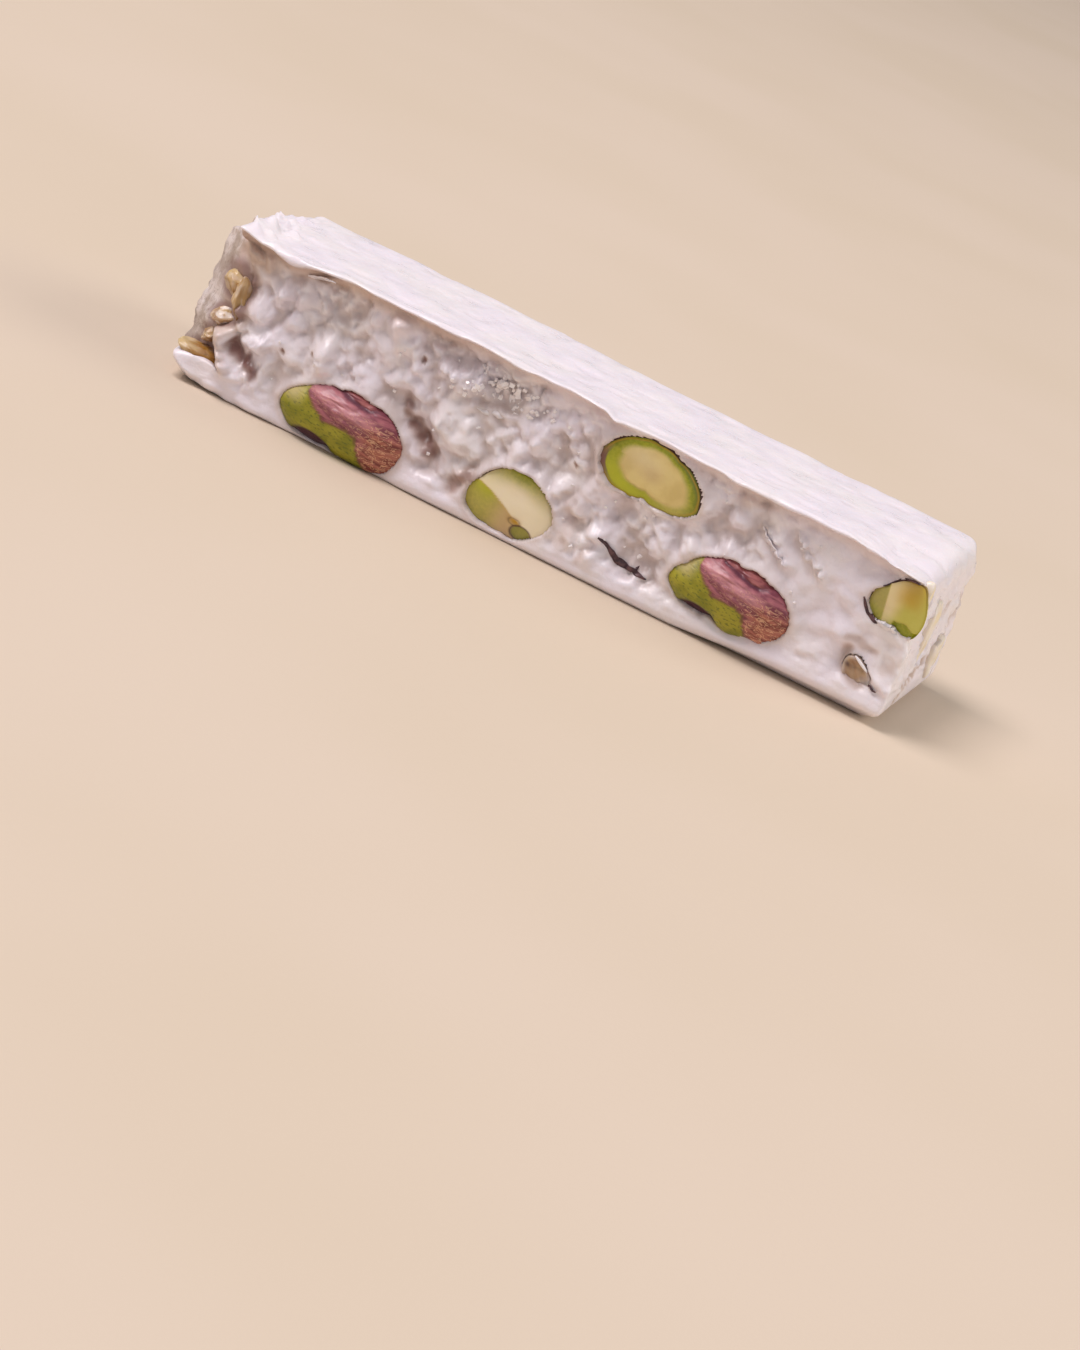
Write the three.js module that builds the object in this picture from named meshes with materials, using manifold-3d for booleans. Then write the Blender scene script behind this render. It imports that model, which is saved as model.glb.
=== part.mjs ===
// A stick of soft white nougat set with pistachio kernels, as sawn from a slab.
//
// Frame: millimetres, X along the stick, -Y the long side that is looked at, +Z up.
// The origin is on the flat underside, below the middle of the stick.
//
// The nougat is one solid. Its long sides are sawn, so they are crumbly and lie a little
// behind the smooth skins above and below them. Its left end is broken: a skin overhangs
// a broken corner there, and a thin foot of nougat runs out below it.
// Every pistachio kernel that shows is a solid of its own, in a socket of the nougat.

import * as THREE from "three";
import { mergeVertices } from "three/addons/utils/BufferGeometryUtils.js";
import { ImprovedNoise } from "three/addons/math/ImprovedNoise.js";
import Module from "manifold-3d";

const wasm = await Module();
wasm.setup();

// The stick
const LENGTH = 96;
const WIDTH = 28;
const HEIGHT = 20;
const HALF_LENGTH = LENGTH / 2;
const HALF_WIDTH = WIDTH / 2;
const EDGE_RADIUS = 0.9;

// The facets of its surface: how many along X and Y, and the heights of the rows
const STEPS = { x: 42, y: 7 };
const ROWS = [0, 1, 2.6, 4.6, 7, 9.6, 12.2, 14.6, 16.6, 18.2, 19.1, 20];

// The sawn long sides: how far they stand out at each height, and their crumbs
const SIDE_PROFILE = [
  [0, 0.1],
  [1, 0.5],
  [2.6, 0.3],
  [5, -0.2],
  [10, -0.5],
  [14, -0.8],
  [17.4, -1.2],
  [18.3, -0.8],
  [19.1, 0.5],
  [20, 0.5],
];
const SIDE_REACH = 5;
const CRUMB = { size: 4.6, height: 1.1 };
const SMEARED = { from: 22, to: 36, share: 0.65 };
const SKIN_WAVE = { size: 8, height: 0.2 };

// Hollows in the front side: place, radius and depth
const HOLLOWS = [
  { x: -34.5, z: 14.6, radius: 4.4, depth: 1.3 },
  { x: -17.2, z: 7.4, radius: 2.4, depth: 1.9 },
  { x: -11.5, z: 16.2, radius: 4.6, depth: 0.9 },
  { x: 9.5, z: 8.6, radius: 3.6, depth: 0.9 },
  { x: 41.8, z: 5.6, radius: 2.6, depth: 1.0 },
];

// The torn place in the front edge of the top skin
const TEAR = { x: 4.6, reach: 4.5, out: 0.9 };

// The broken left end and the sawn right end, as distances along X from the middle
const LEFT = { tip: 49.2, rearCorner: 44.8, frontCorner: 0.9 };
const BROKEN = { depth: 5.6, fromZ: 4.6, toZ: 17.4, edge: 1.3 };
const FOOT = { z: 3.8, height: 1.5, out: 1.1, reach: 7 };
const RIGHT = { front: 46.7, rear: 48.9, bulge: 0.7, bulgeTop: 14, shoulder: 3 };
const END_REACH = 12;
const END_CRUMB = { size: 5, height: 0.6 };

// The ragged crest that stands up along the top of the left end
const CREST = { y: -6.5, reach: 6, height: 1.3 };

// How far the top skin sinks towards its front edge at the ends
const SINK = { right: 1.1, left: 0.4 };

// How far the rim of the underside lifts off the table, along the stick
const RIM_LIFT = [
  [-49, 2.9],
  [-46.9, 1.9],
  [-44.6, 1.2],
  [-38.7, 0.7],
  [-34, 0],
  [24, 0],
  [34.5, 0.5],
  [40.5, 0.7],
  [45, 1.4],
  [48, 2.2],
];

// A kernel: how it narrows, the groove along the seam of its halves, and the space between
// it and the nougat round it
const KERNEL_FORM = { narrowing: 0.1, waist: 0.06, seamHeight: 0.35, seamBreadth: 0.2 };
const PLAIN_GROOVE = 0.04;
const SOCKET_GAP = 0.32;
const FINE_FROM = 14;

// Flat cuts across kernels: the way a cut faces, in degrees from the front towards the
// right, and a point that it runs through
const front = (y) => ({ faces: 0, x: 0, y });
const right = (x) => ({ faces: 90, x, y: 0 });
const back = (y) => ({ faces: 180, x: 0, y });

// Every kernel that shows: its middle, its size along X, Y and Z, its tilt in degrees
// about Y, and the faces of the stick that cut it flat
const KERNELS = [
  { name: "kernel_whole_left", at: [-26.2, -12.6, 4.6], size: [17.2, 7.4, 7.6], tilt: 5, groove: 0.22, colour: "husk" },
  { name: "kernel_split", at: [-3.2, -12.4, 4.7], size: [12.4, 7, 7.7], tilt: 4, sawn: [front(-13.7)], colour: "cut" },
  { name: "kernel_halved", at: [11, -12.5, 15.1], size: [14.6, 6, 7], tilt: 13, sawn: [front(-13.3)], colour: "cut" },
  { name: "kernel_whole_right", at: [25.5, -12.4, 6.5], size: [16.4, 7.4, 8], tilt: 8, groove: 0.22, colour: "husk" },
  {
    name: "kernel_corner",
    at: [44, -11.6, 14],
    size: [8.6, 7.4, 6.6],
    tilt: 14,
    sawn: [front(-13.2), right(46.9), { faces: 36, x: 43.6, y: -13.2 }],
    colour: "pale",
  },
  { name: "kernel_peeking", at: [43.1, -12, 4.9], size: [5, 4.8, 4.8], tilt: 40, sawn: [front(-13.7)], colour: "husk" },
  { name: "kernel_left_upper", at: [-45.1, -10.4, 13.4], size: [5.4, 5, 5.6], tilt: 20, colour: "pale" },
  { name: "kernel_left_lower", at: [-45.2, -10.8, 8.6], size: [5, 4.8, 3.2], tilt: -16, colour: "pale" },
  { name: "kernel_left_foot", at: [-45.9, -11.6, 5], size: [6.4, 4.4, 2.4], tilt: 8, colour: "pale" },
  { name: "kernel_right_middle", at: [45.4, -2.6, 10.6], size: [9, 6.6, 9.6], tilt: 0, sawn: [right(48.1)], colour: "pale" },
  { name: "kernel_right_rear", at: [46.2, 8.6, 6.2], size: [8.4, 7.6, 6], tilt: 0, sawn: [right(49.2)], colour: "cut" },
  { name: "kernel_back_1", at: [-31, 11.4, 12.6], size: [14.4, 8.4, 7.8], tilt: 18, sawn: [back(13.5)], colour: "cut" },
  { name: "kernel_back_2", at: [-13.5, 12.6, 6.6], size: [16.2, 7.4, 8.2], tilt: -10, groove: 0.22, colour: "husk" },
  { name: "kernel_back_3", at: [6, 11.6, 13], size: [11.6, 8.6, 8.2], tilt: -30, sawn: [back(13.4)], colour: "cut" },
  { name: "kernel_back_4", at: [23, 11.6, 6], size: [13.6, 8.2, 7.4], tilt: 8, sawn: [back(13.7)], colour: "cut" },
  { name: "kernel_back_5", at: [37.5, 11.4, 13.6], size: [12.4, 8, 7.2], tilt: -24, sawn: [back(13.4)], colour: "cut" },
];

// The seam of kernel_split shows: a point of it and its tilt. The half below it was sawn
// deeper and leans into the stick.
const SPLIT_SEAM = { x: -3.6, y: -13.7, z: 3.9, tilt: 21, deeper: 0.5, lean: 12 };

// A thin curl of kernel skin, caught edge on in the front side
const SLIVER = { at: [11.7, -13.8, 4.8], length: 7.2, depth: 1.8, thickness: 0.9, kink: 0.45, tilt: 19 };

// Larger than any kernel: the size of the blocks that cut them flat
const REACH = 40;

const COLOURS = { nougat: 0xf1e9e8, cut: 0xc3c46e, husk: 0x8a4f57, pale: 0xd6c48c, skin: 0x3a2430 };

const noise = new ImprovedNoise();
const NOISE_START = new THREE.Vector3(31.7, 12.3, 5.1);

// Smooth noise from -1 to 1 at a point, with lumps of the given size.
function lumps(x, y, z, size) {
  return noise.noise(x / size + NOISE_START.x, y / size + NOISE_START.y, z / size + NOISE_START.z);
}

// From 0 to 1 as a value goes from one place to another, with soft ends.
function ramp(from, to, value) {
  const t = THREE.MathUtils.clamp((value - from) / (to - from), 0, 1);
  return t * t * (3 - 2 * t);
}

// Straight interpolation in a profile of [place, value] pairs.
function along(profile, place) {
  for (let i = 1; i < profile.length; i++) {
    const [before, low] = profile[i - 1];
    const [after, high] = profile[i];
    if (place <= after) return low + ((high - low) * (place - before)) / (after - before);
  }
  return profile[profile.length - 1][1];
}

// Moves an even place so that the outermost rows lie one edge radius from the edge.
function graded(value, half, steps) {
  const index = Math.round(((value / half + 1) / 2) * steps);
  if (index === 0) return -half;
  if (index === steps) return half;
  return -half + EDGE_RADIUS + ((index - 1) * 2 * (half - EDGE_RADIUS)) / (steps - 2);
}

// Pulls the points near the block's edges onto a rounding of one edge radius.
function rounded(p) {
  const inner = new THREE.Vector3(
    THREE.MathUtils.clamp(p.x, EDGE_RADIUS - HALF_LENGTH, HALF_LENGTH - EDGE_RADIUS),
    THREE.MathUtils.clamp(p.y, EDGE_RADIUS - HALF_WIDTH, HALF_WIDTH - EDGE_RADIUS),
    THREE.MathUtils.clamp(p.z, EDGE_RADIUS, HEIGHT - EDGE_RADIUS),
  );
  const out = p.clone().sub(inner);
  return inner.add(out.setLength(EDGE_RADIUS));
}

// Where the left end lies along X: broken away at its front corner, cut back at the rear.
function leftEnd(y, z) {
  const { depth, fromZ, toZ, edge } = BROKEN;
  const broken = ramp(fromZ - edge, fromZ + edge, z) * ramp(toZ + edge, toZ - edge, z);
  const fromFront = THREE.MathUtils.clamp((y + HALF_WIDTH) / depth, 0, 1);
  const corner = THREE.MathUtils.lerp(LEFT.frontCorner, depth, broken) * (1 - fromFront);
  const rear = (LEFT.tip - LEFT.rearCorner) * ramp(-HALF_WIDTH / 2, HALF_WIDTH * 1.1, y);
  return corner + rear - LEFT.tip;
}

// Where the right end lies along X: further out at the rear, and swollen below its middle.
function rightEnd(y, z) {
  const end = THREE.MathUtils.lerp(RIGHT.front, RIGHT.rear, (y + HALF_WIDTH) / WIDTH);
  const swollen = Math.sin((Math.PI * Math.min(z, RIGHT.bulgeTop)) / RIGHT.bulgeTop);
  const overShoulder = THREE.MathUtils.clamp(z - HEIGHT + RIGHT.shoulder, 0, RIGHT.shoulder);
  const shoulder = RIGHT.shoulder - Math.sqrt(RIGHT.shoulder ** 2 - overShoulder ** 2);
  return end + RIGHT.bulge * swollen - shoulder;
}

// How far a long side stands out at a point of it.
function sideRelief(x, y, z) {
  const crumbly = 1 - SMEARED.share * ramp(SMEARED.from, SMEARED.to, x);
  const betweenSkins = ramp(2, 5, z) * ramp(18.5, 16.5, z);
  const crumbs = CRUMB.height * crumbly * betweenSkins * lumps(x, y, z, CRUMB.size);
  const skins = SKIN_WAVE.height * lumps(x, y, 0, SKIN_WAVE.size);
  let relief = along(SIDE_PROFILE, z) + crumbs + skins;
  if (y > 0) return relief;
  for (const hollow of HOLLOWS) {
    const far = Math.hypot(x - hollow.x, z - hollow.z) / hollow.radius;
    relief -= hollow.depth * Math.exp(-far * far * 2);
  }
  const torn = Math.exp(-Math.pow((x - TEAR.x) / TEAR.reach, 2));
  return relief + TEAR.out * torn * ramp(18.2, 19.1, z);
}

// One point of the nougat, from its place on the plain rounded block.
function shaped(p) {
  const q = rounded(p);
  const { x, y, z } = q;
  const toEnd = ramp(HALF_LENGTH - END_REACH, HALF_LENGTH, Math.abs(x));
  const end = x < 0 ? leftEnd(y, z) + HALF_LENGTH : rightEnd(y, z) - HALF_LENGTH;
  q.x += toEnd * (end + END_CRUMB.height * lumps(x, y, z, END_CRUMB.size) * ramp(0, 3, z));

  const toSide = ramp(HALF_WIDTH - SIDE_REACH, HALF_WIDTH, Math.abs(y));
  q.y += Math.sign(y) * toSide * sideRelief(x, y, z);

  const sink = SINK.right * ramp(34, 46, x) + SINK.left * ramp(44, 48, -x);
  const crest = CREST.height * Math.exp(-Math.pow((y - CREST.y) / CREST.reach, 2)) * ramp(44.5, 47.5, -x);
  const top = crest + SKIN_WAVE.height * lumps(x, y, 0, SKIN_WAVE.size) - sink * ramp(6, -HALF_WIDTH, y);
  q.z += ramp(HEIGHT / 2, HEIGHT, z) * top;

  const rim = Math.max(ramp(HALF_WIDTH - 3, HALF_WIDTH, Math.abs(y)), ramp(45, 48, Math.abs(x)));
  q.z += rim * ramp(7, 1, z) * along(RIM_LIFT, x);

  // The foot runs out to the left under the broken corner.
  const foot = Math.exp(-Math.pow((z - FOOT.z) / FOOT.height, 2)) * ramp(HALF_WIDTH - FOOT.reach, HALF_WIDTH, -y);
  q.x -= FOOT.out * foot * ramp(HALF_LENGTH - 3, HALF_LENGTH, -x);
  return q;
}

// A geometry as a manifold solid, with its shared corners merged.
function solidOf(geometry) {
  const bare = geometry.clone();
  bare.deleteAttribute("normal");
  bare.deleteAttribute("uv");
  const merged = mergeVertices(bare, 1e-4);
  return new wasm.Manifold(
    new wasm.Mesh({
      numProp: 3,
      vertProperties: new Float32Array(merged.attributes.position.array),
      triVerts: new Uint32Array(merged.index.array),
    }),
  );
}

function geometryOf(solid) {
  const mesh = solid.getMesh();
  const geometry = new THREE.BufferGeometry();
  geometry.setAttribute("position", new THREE.BufferAttribute(mesh.vertProperties, mesh.numProp));
  geometry.setIndex(new THREE.BufferAttribute(mesh.triVerts, 1));
  geometry.computeVertexNormals();
  return geometry;
}

// Applies a point-to-point function to every corner of a geometry.
function reshape(geometry, move) {
  const places = geometry.attributes.position;
  const p = new THREE.Vector3();
  for (let i = 0; i < places.count; i++) {
    const q = move(p.fromBufferAttribute(places, i));
    places.setXYZ(i, q.x, q.y, q.z);
  }
  return geometry;
}

function nougatBlock() {
  const rows = ROWS.length - 1;
  const block = new THREE.BoxGeometry(LENGTH, WIDTH, HEIGHT, STEPS.x, STEPS.y, rows);
  return reshape(block, (p) => {
    const row = Math.round((p.z / HEIGHT + 0.5) * rows);
    const x = graded(p.x, HALF_LENGTH, STEPS.x);
    const y = graded(p.y, HALF_WIDTH, STEPS.y);
    return shaped(new THREE.Vector3(x, y, ROWS[row]));
  });
}

// A kernel: blunt at one end, narrower at the other, with a groove along the seam of its
// halves. extra makes it larger all round, for its socket.
function kernelShape(kernel, extra = 0) {
  const { narrowing, waist, seamHeight, seamBreadth } = KERNEL_FORM;
  const radii = new THREE.Vector3(...kernel.size).multiplyScalar(0.5).addScalar(extra);
  const depth = kernel.groove ?? PLAIN_GROOVE;
  const detail = kernel.size[0] > FINE_FROM ? 3 : 2;
  const egg = reshape(new THREE.IcosahedronGeometry(1, detail), (p) => {
    const fullness = 1 + waist - narrowing * p.x - waist * p.x * p.x;
    const toSeam = (p.z - seamHeight) / seamBreadth;
    const groove = depth * Math.exp(-toSeam * toSeam) * ramp(1, 0.5, Math.abs(p.x));
    return new THREE.Vector3(p.x * radii.x, p.y * radii.y * (1 - groove), p.z * radii.z * fullness);
  });
  return egg.rotateY(THREE.MathUtils.degToRad(kernel.tilt)).translate(...kernel.at);
}

// A block with one face through the middle of the frame and the rest of it in front.
function blockInFront() {
  return new THREE.BoxGeometry(REACH, REACH, REACH).translate(0, -REACH / 2, 0);
}

// What a flat cut takes away.
function beyond({ faces, x, y }) {
  return solidOf(blockInFront().rotateZ(THREE.MathUtils.degToRad(faces)).translate(x, y, 0));
}

// What is missing from the half of the split kernel below its seam.
function belowSeam() {
  const { x, y, z, tilt, deeper, lean } = SPLIT_SEAM;
  const turn = THREE.MathUtils.degToRad(tilt);
  const leaning = blockInFront().rotateX(THREE.MathUtils.degToRad(lean)).translate(0, deeper, 0);
  const lower = new THREE.BoxGeometry(REACH, REACH, REACH).translate(0, 0, -REACH / 2);
  const missing = solidOf(leaning).intersect(solidOf(lower));
  return missing.rotate([0, THREE.MathUtils.radToDeg(turn), 0]).translate([x, y, z]);
}

function kernelSolid(kernel) {
  let solid = solidOf(kernelShape(kernel));
  for (const cut of kernel.sawn ?? []) solid = solid.subtract(beyond(cut));
  if (kernel.name === "kernel_split") solid = solid.subtract(belowSeam());
  return solid;
}

// The curl of skin: a thin blade with a kink in its middle.
function sliverSolid(extra = 0) {
  const { at, length, depth, thickness, kink, tilt } = SLIVER;
  const half = [length, depth, thickness].map((size) => size / 2 + extra);
  const blade = reshape(new THREE.IcosahedronGeometry(1, 2), (p) => {
    const z = p.z * half[2] + kink * Math.sin(Math.PI * p.x);
    return new THREE.Vector3(p.x * half[0], p.y * half[1], z);
  });
  return solidOf(blade.rotateY(THREE.MathUtils.degToRad(tilt)).translate(...at));
}

// The nougat with a socket for everything set in it. A scrap that a socket cuts off is
// dropped.
function nougatSolid() {
  let nougat = solidOf(nougatBlock());
  for (const kernel of KERNELS) nougat = nougat.subtract(solidOf(kernelShape(kernel, SOCKET_GAP)));
  nougat = nougat.subtract(sliverSolid(SOCKET_GAP));
  const bodies = nougat.decompose().sort((a, b) => b.volume() - a.volume());
  return bodies[0];
}

function meshOf(name, solid, colour, roughness) {
  const material = new THREE.MeshStandardMaterial({ color: COLOURS[colour], roughness, metalness: 0 });
  const mesh = new THREE.Mesh(geometryOf(solid), material);
  mesh.name = name;
  return mesh;
}

const bar = new THREE.Group();
bar.add(meshOf("nougat", nougatSolid(), "nougat", 0.55));
for (const kernel of KERNELS) bar.add(meshOf(kernel.name, kernelSolid(kernel), kernel.colour, 0.45));
bar.add(meshOf("skin_sliver", sliverSolid(), "skin", 0.4));

export default bar;
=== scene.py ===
import math
import random

import bmesh
import bpy
import numpy as np
from mathutils import Matrix, Vector, noise


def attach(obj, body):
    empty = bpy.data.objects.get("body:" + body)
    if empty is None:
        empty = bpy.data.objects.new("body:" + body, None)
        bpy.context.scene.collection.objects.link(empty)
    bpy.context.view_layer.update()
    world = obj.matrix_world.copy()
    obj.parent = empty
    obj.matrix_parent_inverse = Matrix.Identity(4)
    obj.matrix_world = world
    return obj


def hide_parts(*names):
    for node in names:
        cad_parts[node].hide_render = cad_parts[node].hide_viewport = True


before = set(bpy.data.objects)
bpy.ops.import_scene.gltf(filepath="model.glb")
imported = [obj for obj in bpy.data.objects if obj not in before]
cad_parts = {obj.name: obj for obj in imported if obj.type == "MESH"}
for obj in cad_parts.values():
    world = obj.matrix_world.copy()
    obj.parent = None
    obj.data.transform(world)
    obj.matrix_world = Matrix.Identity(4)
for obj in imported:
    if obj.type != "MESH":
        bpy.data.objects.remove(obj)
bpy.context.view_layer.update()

# All shapes are worked out in millimetres and made metres at the end.
MM = 0.001

# The stick of nougat, as in the frame: X along it, -Y the long side looked at, Z up
LENGTH, WIDTH, HEIGHT = 96.0, 28.0, 20.0
HALF_LENGTH, HALF_WIDTH = LENGTH / 2, WIDTH / 2
EDGE_RADIUS = 0.7
NOUGAT_STEPS = (340, 48, 84)
CROWDING = 1.5


# ---- plain maths on rows of points ----

# How far a bead and a pit reach from their middle, in parts of their spacing
BEAD_REACH, PIT_REACH = 0.62, 0.42


def ramp(start, stop, value):
    """From 0 to 1 as value goes from start to stop, with soft ends."""
    t = np.clip((value - start) / (stop - start), 0, 1)
    return t * t * (3 - 2 * t)


def bump(value, middle, reach):
    return np.exp(-(((value - middle) / reach) ** 2))


def along(profile, place):
    places, values = zip(*profile)
    return np.interp(place, places, values)


def mix(a, b, share):
    return a + (b - a) * share


def lumps(points, size, start=0.0):
    """Smooth noise from -1 to 1 with lumps of the given size, one number or one per axis."""
    scaled = points / np.array(size) + start
    return np.array([noise.noise(p) for p in scaled.tolist()])


def puffs(points, size, start=0.0):
    """Rounded puffs with soft furrows between them, from about 0 to 1."""
    return np.sqrt(lumps(points, size, start) ** 2 + 0.012) * 2 - 0.2


def beads(points, size, start=0.0):
    """Round beads crowded together: 1 on top of each, 0 between them."""
    far = [noise.voronoi(p)[0][0] for p in (points / size + start).tolist()]
    return 1 - np.minimum(np.array(far) / BEAD_REACH, 1) ** 2


def pits(points, size, share, start=0.0):
    """Round pits of the given spacing: 0 outside them, 1 at the bottom."""
    depth = []
    for p in (points / size + start).tolist():
        distances, centres = noise.voronoi(p)
        holds_pit = noise.cell(centres[0] * 9.7) < share
        depth.append(max(0.0, 1 - distances[0] / PIT_REACH) if holds_pit else 0.0)
    return np.sqrt(np.array(depth))


def plane_points(a, b, layer=0.0):
    return np.stack([a, b, np.full_like(a, layer)], axis=1)


def near_line(a, b, line, reach):
    """1 on a line of points, falling to 0 at about its reach."""
    best = np.full_like(a, np.inf)
    for (a0, b0), (a1, b1) in zip(line, line[1:]):
        da, db = a1 - a0, b1 - b0
        t = np.clip(((a - a0) * da + (b - b0) * db) / (da * da + db * db), 0, 1)
        best = np.minimum(best, np.hypot(a - a0 - t * da, b - b0 - t * db))
    return np.exp(-((best / reach) ** 2))


# ---- meshes ----

def coordinates(mesh):
    flat = np.empty(len(mesh.vertices) * 3)
    mesh.vertices.foreach_get("co", flat)
    return flat.reshape(-1, 3)


def set_coordinates(mesh, points):
    mesh.vertices.foreach_set("co", (points * MM).ravel())
    mesh.update()


def set_weight(mesh, name, values):
    layer = mesh.attributes.new(name, "FLOAT", "POINT")
    layer.data.foreach_set("value", np.clip(values, 0, 1))


def set_grain(mesh, a, b):
    """A map along and across the grain of a piece, in millimetres."""
    layer = mesh.attributes.new("grain", "FLOAT_VECTOR", "POINT")
    layer.data.foreach_set("vector", np.stack([a, b, np.zeros_like(a)], axis=1).ravel())


def piece_from(bm, name, material):
    """A new piece from a bmesh that is still to be shaped; the bmesh is used up."""
    mesh = bpy.data.meshes.new(name)
    bm.to_mesh(mesh)
    bm.free()
    mesh.shade_smooth()
    mesh.materials.append(material)
    piece = bpy.data.objects.new(name, mesh)
    bpy.context.scene.collection.objects.link(piece)
    return piece


# ---- colours and nodes ----

def linear(hex_colour):
    """An sRGB hex value as linear RGBA."""
    channels = [int(hex_colour[i:i + 2], 16) / 255 for i in (1, 3, 5)]
    return [c / 12.92 if c <= 0.04045 else ((c + 0.055) / 1.055) ** 2.4 for c in channels] + [1.0]


def feed(tree, socket, value):
    """Links another node's socket in, or sets a value; a colour can be a hex value."""
    if isinstance(value, bpy.types.NodeSocket):
        tree.links.new(value, socket)
    else:
        socket.default_value = linear(value) if isinstance(value, str) else value


def add(tree, kind, inputs=None, **settings):
    """Adds a node with its settings and its inputs, by name or by number."""
    node = tree.nodes.new(kind)
    for key, value in settings.items():
        setattr(node, key, value)
    for socket, value in (inputs or {}).items():
        feed(tree, node.inputs[socket], value)
    return node


def new_material(name):
    material = bpy.data.materials.new(name)
    material.use_nodes = True
    material.node_tree.nodes.clear()
    return material, material.node_tree


def tint(tree, share, under, over):
    """Lays one colour over another by a share."""
    # The sockets that mix colours: factor, first and second colour, and result
    node = add(tree, "ShaderNodeMix", data_type="RGBA")
    for socket, value in ((0, share), (6, under), (7, over)):
        feed(tree, node.inputs[socket], value)
    return node.outputs[2]


def times(tree, a, b):
    return add(tree, "ShaderNodeMath", {0: a, 1: b}, operation="MULTIPLY").outputs[0]


def weight(tree, name):
    return add(tree, "ShaderNodeAttribute", attribute_name=name).outputs["Fac"]


def layers(tree, colour, *rows):
    """Lays colours over a colour, each by a weight of the piece: (its name, a share, the colour)."""
    for name, share, over in rows:
        mask = weight(tree, name)
        colour = tint(tree, mask if share == 1 else times(tree, mask, share), colour, over)
    return colour


def band(tree, source, low, high):
    """0 below low and 1 above high, or the other way round where low is the larger."""
    return add(tree, "ShaderNodeMapRange", {"From Min": low, "From Max": high, "Value": source},
               interpolation_type="SMOOTHSTEP").outputs["Result"]


def grit(tree, size_mm, detail=3.0, stretch=(1, 1, 1), grain=False, distortion=0.0):
    """Noise with lumps of the given size, on the piece or along its grain."""
    if grain:
        place = add(tree, "ShaderNodeAttribute", attribute_name="grain").outputs["Vector"]
        per_mm = 1
    else:
        place = add(tree, "ShaderNodeTexCoord").outputs["Object"]
        per_mm = 1 / MM
    scale = [per_mm / (size_mm * s) for s in stretch]
    mapping = add(tree, "ShaderNodeMapping", {"Scale": scale, "Vector": place})
    return add(tree, "ShaderNodeTexNoise", {
        "Vector": mapping.outputs["Vector"], "Scale": 1.0, "Detail": detail, "Distortion": distortion,
    }).outputs["Fac"]


def finish_material(tree, colour, roughness, heights, subsurface=None, coat=0.0):
    """The shader: colour, roughness, bumps as (height source, depth in mm), how much light it
    lets in as (share, depth in mm, spread of red, green and blue), and its gloss coat."""
    normal = {}
    for source, depth_mm in heights:
        bumps = add(tree, "ShaderNodeBump",
                    {"Strength": 1.0, "Distance": depth_mm * MM, "Height": source, **normal})
        normal = {"Normal": bumps.outputs["Normal"]}
    inputs = {"Base Color": colour, "Roughness": roughness, "IOR": 1.46, "Coat Weight": coat,
              "Coat Roughness": 0.25, **normal}
    if subsurface:
        amount, radius_mm, spread = subsurface
        inputs.update({"Subsurface Weight": amount, "Subsurface Scale": radius_mm * MM,
                       "Subsurface Radius": spread})
    shader = add(tree, "ShaderNodeBsdfPrincipled", inputs)
    add(tree, "ShaderNodeOutputMaterial", {"Surface": shader.outputs["BSDF"]})


# Whipped nougat: egg white and sugar, sawn and smeared. Bright and faintly pink, it lets
# light in and is satiny where it was smeared. It is tan where it touches a kernel and has tan and
# brown marks of its own; painted shade makes it grey in its hollows, and tan and brown under the
# top skin, between crumbs and in the broken corner.
def whipped_nougat():
    material, tree = new_material("whipped nougat")
    drift = grit(tree, 7, 2)
    colour = tint(tree, band(tree, drift, 0.35, 0.7), "#F1E9F1", "#F3ECEE")
    # Painted shade: grey-lavender in the hollows, and tan under the top skin, between crumbs and in the
    # broken corner, on top of the tan of real marks and round kernels
    colour = layers(tree, colour, ("hollow", 0.4, "#B8ACAE"), ("stain_and_shade", 0.75, "#C4A68E"))
    fibres = grit(tree, 0.9, 4, (1, 1, 3.5))
    torn = tint(tree, band(tree, fibres, 0.38, 0.6), "#BDAFA6", "#E3D9D6")
    flecks = grit(tree, 0.7, 3, (1, 1, 2), distortion=1.2)
    flecks = times(tree, band(tree, flecks, 0.47, 0.5), band(tree, flecks, 0.53, 0.5))
    torn = tint(tree, times(tree, flecks, 0.4), torn, "#80675C")
    # The brown weight is brown marks, and painted shade under the top skin at the left end and round the
    # kernels in the broken corner
    colour = layers(tree, colour, ("torn", 1, torn), ("brown", 1, "#7C5048"))
    satin_to_dull = {"Value": grit(tree, 3, 3), "From Min": 0.3, "From Max": 0.7,
                     "To Min": 0.24, "To Max": 0.5}
    roughness = add(tree, "ShaderNodeMapRange", satin_to_dull).outputs["Result"]
    heights = [(grit(tree, 1.3, 3), 0.13), (grit(tree, 0.5, 3), 0.05)]
    finish_material(tree, colour, roughness, heights, (0.25, 1.2, (1.0, 0.86, 0.8)), coat=0.32)
    return material


# A pistachio kernel cut through: oily cream inside, green towards its edge, with a thin
# dark line where its skin is cut.
def cut_pistachio():
    material, tree = new_material("cut pistachio")
    mottle = grit(tree, 2.2, 3)
    fine = grit(tree, 0.4, 3)
    colour = tint(tree, band(tree, mottle, 0.35, 0.7), "#E2CC86", "#D6BE78")
    green = tint(tree, band(tree, fine, 0.35, 0.65), "#949A14", "#AAAA24")
    # gold is golden colour on chips and on the corner kernel's upper part, and a painted highlight as a thin
    # line inside a halved kernel's rim and along a split kernel's ridge
    colour = layers(
        tree, colour, ("cream", 1, "#F4E6C4"), ("tan", 1, "#C6A77E"), ("green", 1, green),
        ("bright", 0.9, "#BCC024"), ("deep", 1, "#5E6C0A"), ("gold", 1, "#C89A20"),
        ("amber", 1, "#9C6E2A"), ("mauve", 1, "#8E6A62"), ("veil", 1, "#F1E8E0"),
        ("skin", 1, "#4A2622"))
    heights = [(mottle, 0.05), (fine, 0.012)]
    finish_material(tree, colour, 0.33, heights, (0.15, 1.0, (1.0, 0.8, 0.3)), coat=0.2)
    return material


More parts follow.
